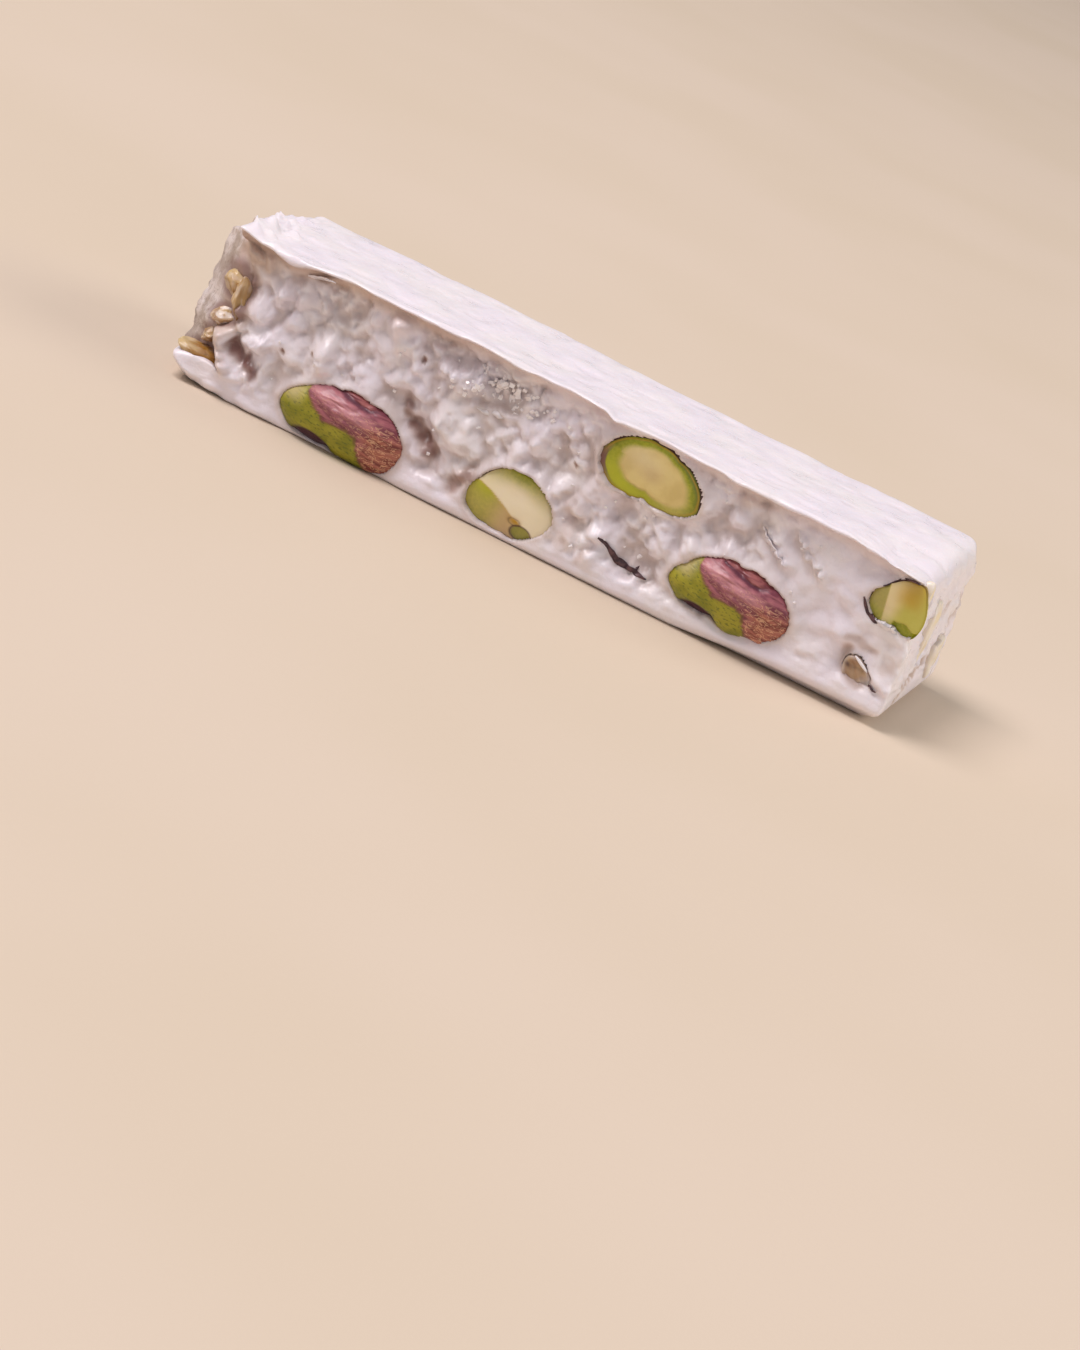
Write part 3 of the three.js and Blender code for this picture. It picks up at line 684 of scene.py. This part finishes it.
def make_nougat():
    piece = piece_from(nougat_block(), "nougat_stick", NOUGAT)
    block = coordinates(piece.data)
    # More points near the front, where the detail is
    block[:, 1] = WIDTH * ((block[:, 1] + HALF_WIDTH) / WIDTH) ** CROWDING - HALF_WIDTH
    low = np.array([-HALF_LENGTH, -HALF_WIDTH, 0]) + EDGE_RADIUS
    high = np.array([HALF_LENGTH, HALF_WIDTH, HEIGHT]) - EDGE_RADIUS
    inner = np.clip(block, low, high)
    out = block - inner
    q = inner + out / np.linalg.norm(out, axis=1, keepdims=True) * EDGE_RADIUS
    x, y, z = q[:, 0].copy(), q[:, 1].copy(), q[:, 2].copy()

    # The ends first, because the sides follow them
    flat = bump(np.abs(x), HALF_LENGTH, 1.6)
    q[:, 0] += end_move(x, y, z, flat)
    x_now = q[:, 0].copy()

    shade, stain_and_shade, brown, torn = (np.zeros_like(x) for _ in range(4))
    to_side = ramp(HALF_WIDTH - 5, HALF_WIDTH, np.abs(y))
    front, back = to_side * (y < 0), to_side * (y > 0)
    rows = front > 0
    relief, s, t, b = front_relief(x_now[rows], z[rows])
    q[rows, 1] -= front[rows] * relief
    # Soft as it is, what stands out also hangs a little
    hanging = SAG * front[rows] ** 3 * np.clip(relief + 0.4, -1, 1)
    q[rows, 2] -= hanging * ramp(3, 6, z[rows]) * ramp(19, 17, z[rows])
    shade[rows], stain_and_shade[rows], brown[rows] = s * front[rows] ** 6, t * front[rows] ** 6, b * front[rows] ** 6
    rows = back > 0
    relief, s, t = back_relief(x_now[rows], z[rows])
    q[rows, 1] += back[rows] * relief
    shade[rows], stain_and_shade[rows] = s * back[rows] ** 6, t * back[rows] ** 6

    # Colours of the ends
    right, left = (x > 0) * flat, (x < 0) * flat
    drift = 0.9 * lumps(plane_points(y, z), 2.2, 15.0)
    worn = ramp(-0.1, 0.5, puffs(plane_points(y, z), 1.8, 17.0))
    for line, reach, depth, tan in END_MARKS:
        mark = near_line(y + drift, z + 0.6 * drift, line, reach) * right * worn
        q[:, 0] -= depth * mark
        stain_and_shade = np.maximum(stain_and_shade, tan * ramp(0.1, 0.6, mark))
        brown = np.maximum(brown, 0.2 * tan * ramp(0.3, 0.9, mark))
    between_skins = ramp(2.2, 3.2, z) * ramp(18.3, 17.7, z)
    frayed = 2.5 * lumps(plane_points(y, z), (2.0, 3.0, 1), 3.0)
    torn = left * between_skins * ramp(-46.2, -47.6, x_now) * ramp(-0.5, -6.5, y + frayed)
    broken = left * between_skins * ramp(-8, -9.5, y)
    # Painted shade: tan in the recess of the broken corner, outside the torn sheet
    stain_and_shade = np.maximum(stain_and_shade, 0.75 * broken * (1 - torn))
    # Painted shade: tan under the top skin at the left end, and brown near its edge
    under_top = ramp(14.5, 16.5, z) * ramp(19.6, 19.0, z) * ramp(6, -4, y) * ramp(-38.5, -43, x_now)
    stain_and_shade = np.maximum(stain_and_shade, under_top)
    brown = np.maximum(brown, 0.3 * under_top * ramp(17.2, 18.6, z))
    # Painted shade: brown in the cavity round each kernel of the broken corner
    rows = x_now < BREAK_START
    for kernel in CORNER_KERNELS.values():
        apart = np.linalg.norm((q[rows] - kernel["at"]) / (np.array(kernel["size"]) / 2 + 0.35), axis=1)
        brown[rows] = np.maximum(brown[rows], 0.7 * broken[rows] * ramp(1.5, 1.0, apart))

    # The top skin: smears along it, small dents, and the ragged crest on the left end
    to_top = ramp(HEIGHT / 2, HEIGHT, z)
    p = np.stack([x, y, z * 0], axis=1)
    sink = 1.1 * ramp(34, 46, x)
    crest = 1.1 * bump(y, -9, 7) * ramp(44.0, 47.5, -x)
    spikes = 2.4 * ramp(40.5, 45.5, -x) * bump(y, -4, 8) * pits(p, 3.0, 0.6, 12.0) ** 2
    spikes += 1.1 * ramp(41, 46.5, -x) * bump(y, -1, 13) * pits(p, 1.7, 0.8, 3.0) ** 2
    smears = 0.1 * lumps(p, (16, 3.6, 1), 4.0)
    smears += 0.02 * lumps(p, (7, 1.4, 1), 2.0) * (1 + 1.5 * lumps(p, 11, 7.0))
    raised = 0.65 * ramp(-38, -33, x) * ramp(4.5, 2.5, x) * ramp(-9, -13, y)
    top = 0.2 * lumps(p, 8, 1.0) + smears + raised + crest + spikes - sink * ramp(6, -HALF_WIDTH, y)
    dents = pits(p * np.array([0.55, 1.3, 1]), 2.6, 0.03, 6.0)
    q[:, 2] += to_top * (top - 0.25 * dents)
    # Painted shade in the dents of the top skin
    shade = np.maximum(shade, 0.4 * dents * (z > HEIGHT - 0.4))

    # The rim of the underside lifts where the stick ends, and the foot runs out on the left
    rim = np.maximum(ramp(HALF_WIDTH - 3, HALF_WIDTH, np.abs(y)), ramp(45, 48, np.abs(x)))
    lifted = mix(np.clip(1 - z / np.where(x < -38, 3.2, 6), 0, 1), ramp(3.4, 1.6, z), ramp(-46, -48, x))
    q[:, 2] += rim * lifted * along(RIM_LIFT, x)
    foot = bump(z, 0.9, 1.3) * ramp(HALF_WIDTH - 7, HALF_WIDTH, -y)
    q[:, 0] -= 0.3 * foot * ramp(HALF_LENGTH - 3, HALF_LENGTH, -x)
    q[:, 2] = np.maximum(q[:, 2], 0)

    set_coordinates(piece.data, q)
    # The hollow weight is painted shade, and the tan and brown weights carry painted shade along with real
    # marks
    for name, values in (("hollow", shade), ("stain_and_shade", stain_and_shade), ("brown", brown), ("torn", torn)):
        set_weight(piece.data, name, values)
    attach(piece, "root")
    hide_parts("nougat")


# ---- the kernels ----

# The edge of the skin on a whole kernel, (along, across) in half sizes: green below it
SKIN_EDGE = [(-1.2, 1.4), (-0.7, 1.3), (-0.64, 0.35), (-0.5, 0.16), (-0.36, 0.05), (-0.24, -0.14),
             (-0.04, -0.1), (0.17, -0.02), (0.33, -0.1), (0.41, -0.38), (0.5, -0.64), (0.66, -0.9),
             (0.74, -1.4)]
SEAM = [(-0.34, 0.86), (-0.05, 0.8), (0.16, 0.75), (0.32, 0.76), (0.48, 0.9), (0.56, 1.0)]
SPLIT_RIDGE = [(-0.78, 0.14), (-0.49, 0.05), (-0.04, -0.19), (0.2, -0.36), (0.8, -0.62)]


def ball(detail=6):
    bm = bmesh.new()
    bmesh.ops.create_icosphere(bm, subdivisions=detail, radius=1)
    return bm


def whole_form(u, v, crown):
    """Relief of a whole kernel and its weights; crown is 1 on its front and 0 behind."""
    p = plane_points(u, v)
    edge = along(SKIN_EDGE, u) + 0.05 * lumps(p, 0.16, 3.0)
    bare = ramp(0.045, -0.045, v - edge)
    hollow = ramp(1.1, 0.75, np.hypot((u + 0.3) / 0.36, (v + 0.98) / 0.34))
    seam = near_line(u, v, SEAM, 0.055) * ramp(0.62, 0.3, u)
    ridge = bump(v - 0.42, 0, 0.3) * ramp(-0.8, -0.4, u)
    behind_seam = ramp(0, 0.06, v - along(SEAM, u)) * ramp(-0.35, -0.2, u) * ramp(0.6, 0.5, u)
    wrinkles = 0.17 * lumps(p, (0.3, 0.1, 1), 2.0) + 0.09 * lumps(p, (0.12, 0.05, 1), 6.0)
    relief = crown * (0.3 * ridge - 0.45 * seam - 0.7 * hollow - 0.12 * bare - 0.3 * behind_seam
                      + wrinkles * (1 - 0.6 * bare))
    weights = {
        "bare": bare,
        "pale": ramp(-0.55, -0.85, u) * ramp(-0.3, 0.1, v),
        "rind": bump(v - edge, 0, 0.04) * 0.7 * ramp(-0.7, -0.5, u),
        # dark is painted shade: dark purple in the hollow at the lower left and in the seam's groove
        "dark": np.clip(0.95 * hollow + 0.75 * ramp(0.3, 0.9, seam), 0, 1) * crown,
        # band is a painted highlight: a pale pink band along the upper ridge
        "band": (bump(v - 0.5 + 0.16 * u, 0, 0.2) * ramp(-0.8, -0.5, u) * ramp(0.75, 0.3, u)
                 * (1 - behind_seam)),
        "red": np.clip(ramp(0.2, 0.65, u) * ramp(0.7, 0.2, v) + 0.4 * behind_seam, 0, 1) * (1 - bare),
        "netted": (0.35 + 0.65 * ramp(0.0, 0.5, u)) * ramp(0.75, 0.4, v) * (1 - bare),
    }
    return relief, weights


def halved_form(u, v, crown, reach, angle):
    """The flat face of a halved kernel: a broad cream middle inside a green rim."""
    lower_left = bump(angle, -112, 52)
    upper_right = bump(angle, 40, 60)
    quiet = bump(angle, -38, 30)
    left = bump(angle, 180, 45) + bump(angle, -180, 45)
    inner = 0.7 - 0.2 * lower_left - 0.08 * left - 0.06 * upper_right
    inner += 0.05 * lumps(plane_points(u, v), 0.4, 8.0)
    green = ramp(inner, inner + 0.17, reach) * (1 - 0.4 * quiet)
    crescent = ramp(0.84, 0.88, reach) * bump(angle, -146, 24)
    deep = ramp(0.76, 0.94, reach) * (0.1 + 0.9 * upper_right + 0.4 * left) * (1 - quiet)
    skin_line = ramp(0.955, 0.97, reach + 0.014 * np.sin(np.radians(5 * angle)))
    weights = {
        "green": green,
        "deep": deep,
        "tan": 0.4 * bump(np.hypot(u * 1.6, v * 1.1), 0, 0.3),
        "cream": 0.35 * bump(np.hypot(u + 0.3, v - 0.25), 0, 0.4),
        "bright": green * lower_left,
        # A thin golden line just inside the skin line: a painted highlight along the rim
        "gold": 0.7 * bump(reach, 0.925, 0.018) * (1 - 0.7 * quiet),
        "skin": skin_line * (1 - 0.8 * quiet) * (1 - 0.7 * lower_left),
        "mauve": crescent,
    }
    fold = lower_left * ramp(inner, inner + 0.05, reach)
    relief = crown * (-0.12 * ramp(0.86, 0.99, reach) - 0.25 * fold - 0.4 * crescent)
    return relief, weights


def split_form(u, v, crown, reach, angle):
    """Two facets that meet in a ridge: cream above it, olive and tan below."""
    ridge = along(SPLIT_RIDGE, u)
    above = ramp(-0.025, 0.025, v - ridge)
    apart = np.abs(v - ridge)
    scrap_far = np.hypot((u - 0.5) / 0.26, (v + 0.68) / 0.24)
    scrap = ramp(1.0, 0.8, scrap_far)
    chip = bump(np.hypot((u - 0.27) / 0.14, (v + 0.44) / 0.1), 0, 1)
    relief = crown * (-0.6 * apart * np.where(above > 0.5, 0.75, 1.3) - 0.35 * scrap - 0.3 * chip)
    top_green = above * ramp(0.35, 0.95, reach) * bump(angle, 88, 50)
    low_left = (1 - above) * ramp(0.1, -0.55, u)
    skin_line = ramp(0.935, 0.96, reach) * np.clip(bump(angle, 140, 32) + bump(angle, -125, 36), 0, 1)
    round_scrap = 0.85 * bump(scrap_far, 0.95, 0.1) * ramp(0.0, 0.1, u)
    weights = {
        "cream": above * (1 - 0.9 * top_green) * (1 - scrap),
        "tan": (1 - above) * ramp(-0.65, 0.2, u) * 0.75 * (1 - scrap),
        "green": np.clip(top_green + 0.6 * low_left + 0.6 * scrap, 0, 1),
        "bright": low_left * bump(np.hypot(u + 0.6, v - 0.15), 0, 0.4),
        "deep": above * ramp(0.85, 0.95, reach) * bump(angle, 62, 42) * 0.7 + 0.35 * scrap,
        # gold along the ridge is a painted highlight; on the chip it is the chip's own colour
        "gold": np.clip(0.25 * bump(apart, 0, 0.04) + 0.9 * chip, 0, 1) * (1 - scrap),
        "skin": np.clip(skin_line + round_scrap + 0.5 * bump(chip, 0.35, 0.12), 0, 1),
    }
    return relief, weights


def corner_form(u, v, crown, reach, angle):
    """A narrow olive facet, a broad pale one, and a bright green chunk below."""
    facet = -0.42 - 0.3 * v
    left = ramp(0.03, -0.03, u - facet)
    chunk = ramp(-0.36, -0.44, v + 0.06 * np.sin(9 * u)) * ramp(0.1, 0.2, u)
    relief = crown * (-1.0 * np.maximum(0, facet - u) - 0.35 * np.maximum(0, u - facet) - 0.35 * chunk)
    weights = {
        "cream": 0.4 * bump(u - facet, 0.12, 0.3) * (1 - chunk) * (1 - left),
        "gold": 0.7 * ramp(0.0, 0.6, v) * bump(u, 0.2, 0.45) * (1 - left),
        "tan": 0.5 * left,
        "bright": 0.65 * ramp(-0.2, 0.35, u) * (1 - chunk),
        "green": np.clip(chunk + 0.3 * ramp(-0.2, -0.6, v) + 0.45 * left, 0, 1),
        "deep": 0.4 * chunk * bump(np.hypot(u - 0.45, (v + 0.8) * 1.5), 0, 0.35) + 0.25 * left,
        "skin": ramp(0.94, 0.96, reach) * np.clip(bump(angle, 110, 50) + bump(angle, -160, 40), 0, 1),
    }
    return relief, weights


def slice_form(u, v, crown, reach, angle):
    """A thin pale slice of kernel under a veil of nougat."""
    p = plane_points(u, v)
    relief = crown * 0.25 * lumps(p, 0.6, 4.0)
    veil = np.maximum(0.9 * ramp(0.1, 0.5, puffs(p, (0.5, 1.2, 1), 1.0)), 0.8 * ramp(0.5, 0.9, reach))
    weights = {
        "cream": 0.9 * (1 - veil),
        "veil": veil,
        "tan": 0.4 * bump(u, 0.4, 0.4) * (1 - veil),
        "skin": 0.3 * ramp(0.93, 0.97, reach) * ramp(0.4, 0.7, puffs(p, 0.5, 6.0)),
    }
    return relief, weights


def lump_form(u, v, crown, reach, angle):
    """A scrap of kernel deep in its hollow, brown, darker where it lies deepest."""
    p = plane_points(u, v)
    weights = {
        "tan": np.full_like(u, 0.9),
        "mauve": 0.45 + 0.4 * lumps(p, 0.7, 2.0),
        "veil": 0.6 * ramp(0.2, 0.8, u) + 0.4 * ramp(0.7, 0.95, reach),
        "skin": 0.8 * bump(np.hypot(u + 0.55, v + 0.45), 0, 0.2),
    }
    return crown * 0.6 * lumps(p, 0.6), weights


FORMS = {"halved": halved_form, "split": split_form, "corner": corner_form, "slice": slice_form,
         "lump": lump_form}


def make_kernel(name, kernel):
    """A kernel from a ball: a is across its face, b up it and n out of it; u and v are the
    same turned to lie along and across the kernel, in half sizes."""
    whole = kernel["kind"] == "whole"
    piece = piece_from(ball(6), name.replace("kernel", "pistachio"), SKINNED if whole else CUT)
    unit = coordinates(piece.data)
    a, n, b = unit[:, 0], -unit[:, 1], unit[:, 2]
    if kernel["face"] == "back":
        a = -a
        n = -n
    if kernel["face"] == "right":
        a, n = unit[:, 1], unit[:, 0]
    angle = np.degrees(np.arctan2(b, a)) % 360
    radius = np.interp(angle, np.arange(RADIUS_STEPS), kernel["radii"], period=360)
    reach = np.clip(np.hypot(a, b), 0, 1)
    crown = ramp(0.0, 0.25, n)
    stand = kernel["out"] - kernel["rim"]
    power = 2.0 if whole else 5.0
    rise = (1 - reach ** power) ** (1 / power)
    across = kernel["at"][0] + radius * a
    up = kernel["at"][1] + radius * b
    out = kernel["rim"] + np.where(n > 0, stand * rise, -kernel["deep"] * np.sqrt(1 - reach ** 2))

    da, db = radius * a, radius * b
    tilt = kernel["tilt"]
    t = math.radians(tilt)
    half_long = kernel["radii"][[int(-tilt) % 360, int(180 - tilt) % 360]].mean()
    half_high = kernel["radii"][[int(90 - tilt) % 360, int(270 - tilt) % 360]].mean()
    u = (da * math.cos(t) - db * math.sin(t)) / half_long
    v = (da * math.sin(t) + db * math.cos(t)) / half_high
    turn = np.degrees(np.arctan2(v, u))
    if whole:
        relief, weights = whole_form(u, v, crown)
    else:
        # Behind the rim a place counts as just outside the face, so it is skin there
        relief, weights = FORMS[kernel["kind"]](u, v, crown, np.where(n > 0, reach, 1.03), turn)
    unevenness = 0.08 * lumps(plane_points(u * half_long, v * half_high, kernel["at"][0]), (3, 1.6, 1))
    out = out + relief + crown * unevenness
    points = on_face(kernel["face"], across, up, out)
    points[:, 2] = np.maximum(points[:, 2], 0.15)
    set_coordinates(piece.data, points)
    for key, values in weights.items():
        set_weight(piece.data, key, values)
    set_grain(piece.data, u * half_long, v * half_high)
    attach(piece, "root")
    if name.startswith("kernel"):
        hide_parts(name)


# How many chips each small kernel has, and how far from its middle they lie, in half sizes
CHIPS, CHIP_LEVEL = 5, 0.72


def make_corner_kernel(name, kernel):
    """A small kernel in the broken corner, chipped flat in places and dusted with nougat."""
    piece = piece_from(ball(6), name.replace("kernel", "pistachio"), CUT)
    unit = coordinates(piece.data)
    place = kernel["at"][2]
    dents = 0.2 * lumps(unit, 1.1, place) + 0.11 * lumps(unit, 0.45, place) + 0.03 * lumps(unit, 0.2, place)
    chipped = unit.copy()
    pick = random.Random(int(place * 10))
    for _ in range(CHIPS):
        side = np.array([pick.uniform(-1, 1), pick.uniform(-1, 0.1), pick.uniform(-1, 1)])
        side /= np.linalg.norm(side)
        chipped -= 0.85 * np.outer(np.maximum(0, chipped @ side - CHIP_LEVEL), side)
    points = chipped * np.array(kernel["size"]) / 2 * (1 + dents)[:, None]
    turn = Matrix.Rotation(math.radians(kernel["turn"]), 3, "Y")
    points = points @ np.array(turn).T + np.array(kernel["at"])
    set_coordinates(piece.data, points)
    underside = ramp(0.0, -0.8, unit[:, 2] + 0.3 * lumps(unit, 0.7, place))
    set_weight(piece.data, "tan", kernel["tan"] + 0.3 * lumps(unit, 0.8, place))
    # cream: a painted highlight on the upper left of the kernel
    set_weight(piece.data, "cream", 0.5 * bump(np.hypot(unit[:, 0] + 0.2, unit[:, 2] - 0.4), 0, 0.5))
    amber = kernel["amber"] * ramp(-0.9, 0.2, unit[:, 0]) + 0.4 * underside + 0.5 * lumps(unit, 0.5, place)
    set_weight(piece.data, "amber", amber)
    set_weight(piece.data, "skin", 0.8 * underside * kernel["amber"])
    set_weight(piece.data, "mauve", kernel["mauve"] * ramp(-0.3, 0.5, lumps(unit, 0.6, place + 4)))
    set_weight(piece.data, "veil", kernel["dusted"] * ramp(-0.1, 0.3, lumps(unit, 0.5, place + 7)))
    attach(piece, "root")
    if name.startswith("kernel"):
        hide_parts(name)


make_nougat()
for name, kernel in KERNELS.items():
    make_kernel(name, kernel)
for name, kernel in CORNER_KERNELS.items():
    make_corner_kernel(name, kernel)


# ---- scraps of skin and flakes of nougat ----

SCRAP_THICKNESS = 0.14
# A line of (along, up) on the front, how wide each is and how far it stands out. The pale
# ones are nougat, the others kernel skin.
SCRAPS = [
    dict(line=[(8.2, 5.9), (8.8, 5.6), (9.6, 5.2), (10.5, 4.6), (11.2, 4.05), (12.2, 3.9), (13.7, 3.8),
               (14.4, 3.7), (15.4, 3.55)],
         width=0.8, stand=0.3, node="skin_sliver"),
    dict(line=[(13.9, 4.6), (13.8, 4.2), (13.9, 3.8)], width=0.3, stand=0.3),
    dict(line=[(39.8, 13.7), (40.3, 13.0), (41.0, 12.2), (42.2, 11.7), (43.4, 12.0), (44.6, 12.2)],
         width=0.5, stand=0.2),
    dict(line=[(40.8, 15.3), (41.6, 16.0), (42.2, 16.7), (42.8, 17.6)], width=0.28, stand=0.2),
    dict(line=[(43.2, 17.9), (44.1, 18.0), (45.0, 17.9), (46.0, 17.5)], width=0.28, stand=0.2),
    dict(line=[(41.3, 12.5), (42.2, 12.1), (43.0, 11.8), (44.0, 11.7), (45.2, 11.6)],
         width=1.1, stand=1.3, pale=True),
    dict(line=[(-37.5, 18.3), (-36.2, 18.6), (-34.9, 19.1), (-33.6, 19.4)], width=0.5, stand=0.5, pale=True),
    dict(line=[(-12.4, 13.2), (-10.8, 13.0), (-9.0, 13.5), (-7.2, 13.8)], width=0.7, stand=0.5, pale=True),
    dict(line=[(25.4, 15.7), (26.6, 14.6), (28.0, 13.8), (29.6, 12.9)], width=0.6, stand=0.45, pale=True),
    dict(line=[(44.6, 4.2), (45.1, 4.4), (45.6, 4.1), (46.0, 4.1)], width=0.22, stand=0.12),
]


def make_scrap(index, line, width, stand, node=None, pale=False):
    """A thin strip that follows a line on the front, standing out of it and curling over."""
    bm = bmesh.new()
    bmesh.ops.create_grid(bm, x_segments=40, y_segments=6, size=1)
    name = "skin_curl" if node else f"nougat_flake_{index}" if pale else f"skin_scrap_{index}"
    piece = piece_from(bm, name, NOUGAT if pale else SKIN)
    unit = coordinates(piece.data)
    s, w = (unit[:, 0] + 1) / 2, unit[:, 1]
    steps = np.hypot(*np.diff(np.array(line), axis=0).T)
    places = np.concatenate([[0], np.cumsum(steps)]) / steps.sum()
    line_x, line_z = zip(*line)
    x, z = np.interp(s, places, line_x), np.interp(s, places, line_z)
    ahead = s + 0.03
    dx, dz = np.interp(ahead, places, line_x) - x, np.interp(ahead, places, line_z) - z
    length = np.maximum(np.hypot(dx, dz), 1e-6)
    taper = np.sin(np.pi * np.clip(s, 0.03, 0.97)) ** 0.6
    wave = 1 + 0.4 * lumps(plane_points(s * 9, s * 0, index), 1.3)
    half = width / 2 * taper * wave
    x, z = x - dz / length * w * half, z + dx / length * w * half
    relief = front_relief(x, z)[0]
    y = -(HALF_WIDTH + relief + stand * taper * (0.4 + 0.6 * w)) - 0.05
    points = np.stack([x, y, z], axis=1)
    set_coordinates(piece.data, points)
    solid = piece.modifiers.new("thickness", "SOLIDIFY")
    solid.thickness = SCRAP_THICKNESS * MM
    solid.offset = 0
    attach(piece, "root")
    if node:
        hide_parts(node)


for index, scrap in enumerate(SCRAPS):
    make_scrap(index, **scrap)


# ---- sugar crystals ----

CRYSTALS_IN_PATCH, CRYSTALS_ELSEWHERE = 120, 60
PATCH_ALONG, PATCH_UP = -10.5, 16.2


def clear_of_kernels(across, up):
    """Whether a place on the front lies outside every kernel there."""
    return all(reach_of(kernel, np.array([across]), np.array([up]))[0] > 1.05
               for kernel in kernels_on("front"))


def make_crystals():
    """Small sharp grains scattered on the crumbly front, most of them in the broken patch."""
    pick = random.Random(11)
    places = [(pick.gauss(PATCH_ALONG, 3), pick.gauss(PATCH_UP, 1.2)) for _ in range(CRYSTALS_IN_PATCH)]
    places += [(pick.uniform(-38, 34), pick.uniform(3, 17)) for _ in range(CRYSTALS_ELSEWHERE)]
    places += [(-16.5, 6.1), (-15.2, 5.3), (23.1, 12.4), (24.9, 13.2), (30.7, 15.5), (-18.1, 7.2)]
    places = [(a, b) for a, b in places if 3 < b < 18 and clear_of_kernels(a, b)]
    spots = np.array(places)
    relief = front_relief(spots[:, 0], spots[:, 1])[0]
    bm = bmesh.new()
    for (a, b), stand in zip(places, relief):
        made = bmesh.ops.create_cube(bm, size=1)["verts"]
        in_patch = abs(a - PATCH_ALONG) < 5 and b > 13
        size = pick.uniform(0.2, 0.75 if in_patch else 0.45)
        turn = Matrix.Rotation(pick.uniform(0, 3), 4, Vector((pick.random(), pick.random(), 1)).normalized())
        shape = Matrix.Diagonal((size, size * pick.uniform(0.5, 1), size * pick.uniform(0.6, 1.3), 1))
        place = Matrix.Translation((a, -(HALF_WIDTH + stand), b))
        bmesh.ops.transform(bm, matrix=Matrix.Scale(MM, 4) @ place @ turn @ shape, verts=made)
    piece = piece_from(bm, "sugar_crystals", SUGAR)
    piece.data.shade_flat()
    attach(piece, "root")


make_crystals()


def make_gloss():
    """The wet edge over the kernel scrap near the right end."""
    bm = bmesh.new()
    bmesh.ops.create_uvsphere(bm, u_segments=24, v_segments=12, radius=1)
    turn = Matrix.Rotation(math.radians(30), 4, "Y")
    bmesh.ops.transform(bm, matrix=turn @ Matrix.Diagonal((1.25, 0.3, 0.2, 1)), verts=bm.verts)
    piece = piece_from(bm, "wet_edge", SUGAR)
    set_coordinates(piece.data, coordinates(piece.data) + np.array((43.0, -13.6, 6.3)))
    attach(piece, "root")


make_gloss()


# ---- floor, light and camera ----

FLOOR_SIZE = 8.0


bm = bmesh.new()
bmesh.ops.create_grid(bm, x_segments=1, y_segments=1, size=FLOOR_SIZE / 2)
floor = piece_from(bm, "floor", pale_card())


def make_light(name, place, size, power, colour):
    """A square lamp that shines at the origin."""
    data = bpy.data.lights.new(name, "AREA")
    data.size = size
    data.energy = power
    data.color = linear(colour)[:3]
    light = bpy.data.objects.new(name, data)
    light.location = place
    light.rotation_euler = (-Vector(place)).to_track_quat("-Z", "Y").to_euler()
    bpy.context.scene.collection.objects.link(light)


# The camera stands at 9 degrees towards the right end and 14 degrees up, and is rolled so
# that the stick slopes across the frame.
AZIMUTH, ELEVATION, ROLL = math.radians(9), math.radians(14), math.radians(24.3)
# Its distance from the middle of the stick, its lens and sensor in millimetres, and how far
# right and up of that middle it aims
DISTANCE, LENS, SENSOR = 0.462, 100, 36
AIM_OFFSET = (-0.00493, -0.0267)


def make_camera():
    back = Vector((math.sin(AZIMUTH) * math.cos(ELEVATION), -math.cos(AZIMUTH) * math.cos(ELEVATION),
                   math.sin(ELEVATION)))
    level = Vector((math.cos(AZIMUTH), math.sin(AZIMUTH), 0))
    upright = back.cross(level)
    right = math.cos(ROLL) * level + math.sin(ROLL) * upright
    up = math.cos(ROLL) * upright - math.sin(ROLL) * level
    middle = Vector((0, 0, HEIGHT / 2 * MM))
    place = middle + DISTANCE * back
    back = (place - middle - AIM_OFFSET[0] * right - AIM_OFFSET[1] * up).normalized()
    right = up.cross(back).normalized()
    up = back.cross(right)
    data = bpy.data.cameras.new("camera")
    data.lens = LENS
    data.sensor_width = SENSOR
    data.clip_start = 0.01
    camera = bpy.data.objects.new("camera", data)
    camera.matrix_world = Matrix.Translation(place) @ Matrix((right, up, back)).transposed().to_4x4()
    bpy.context.scene.collection.objects.link(camera)
    bpy.context.scene.camera = camera


make_light("window", (-0.96, -0.3, 1.78), 1.0, 34, "#FFF6F8")
make_light("bounce", (0.3, -0.8, 0.35), 0.7, 0.8, "#F9F6FF")
make_light("fill", (1.3, 0.35, 0.8), 1.0, 10, "#FFF8F2")
make_camera()

world = bpy.data.worlds.new("studio")
world.use_nodes = True
sky = world.node_tree.nodes["Background"].inputs
sky["Color"].default_value = linear("#ECEAEC")
sky["Strength"].default_value = 0.38
bpy.context.scene.world = world
bpy.context.scene.view_settings.view_transform = "Standard"
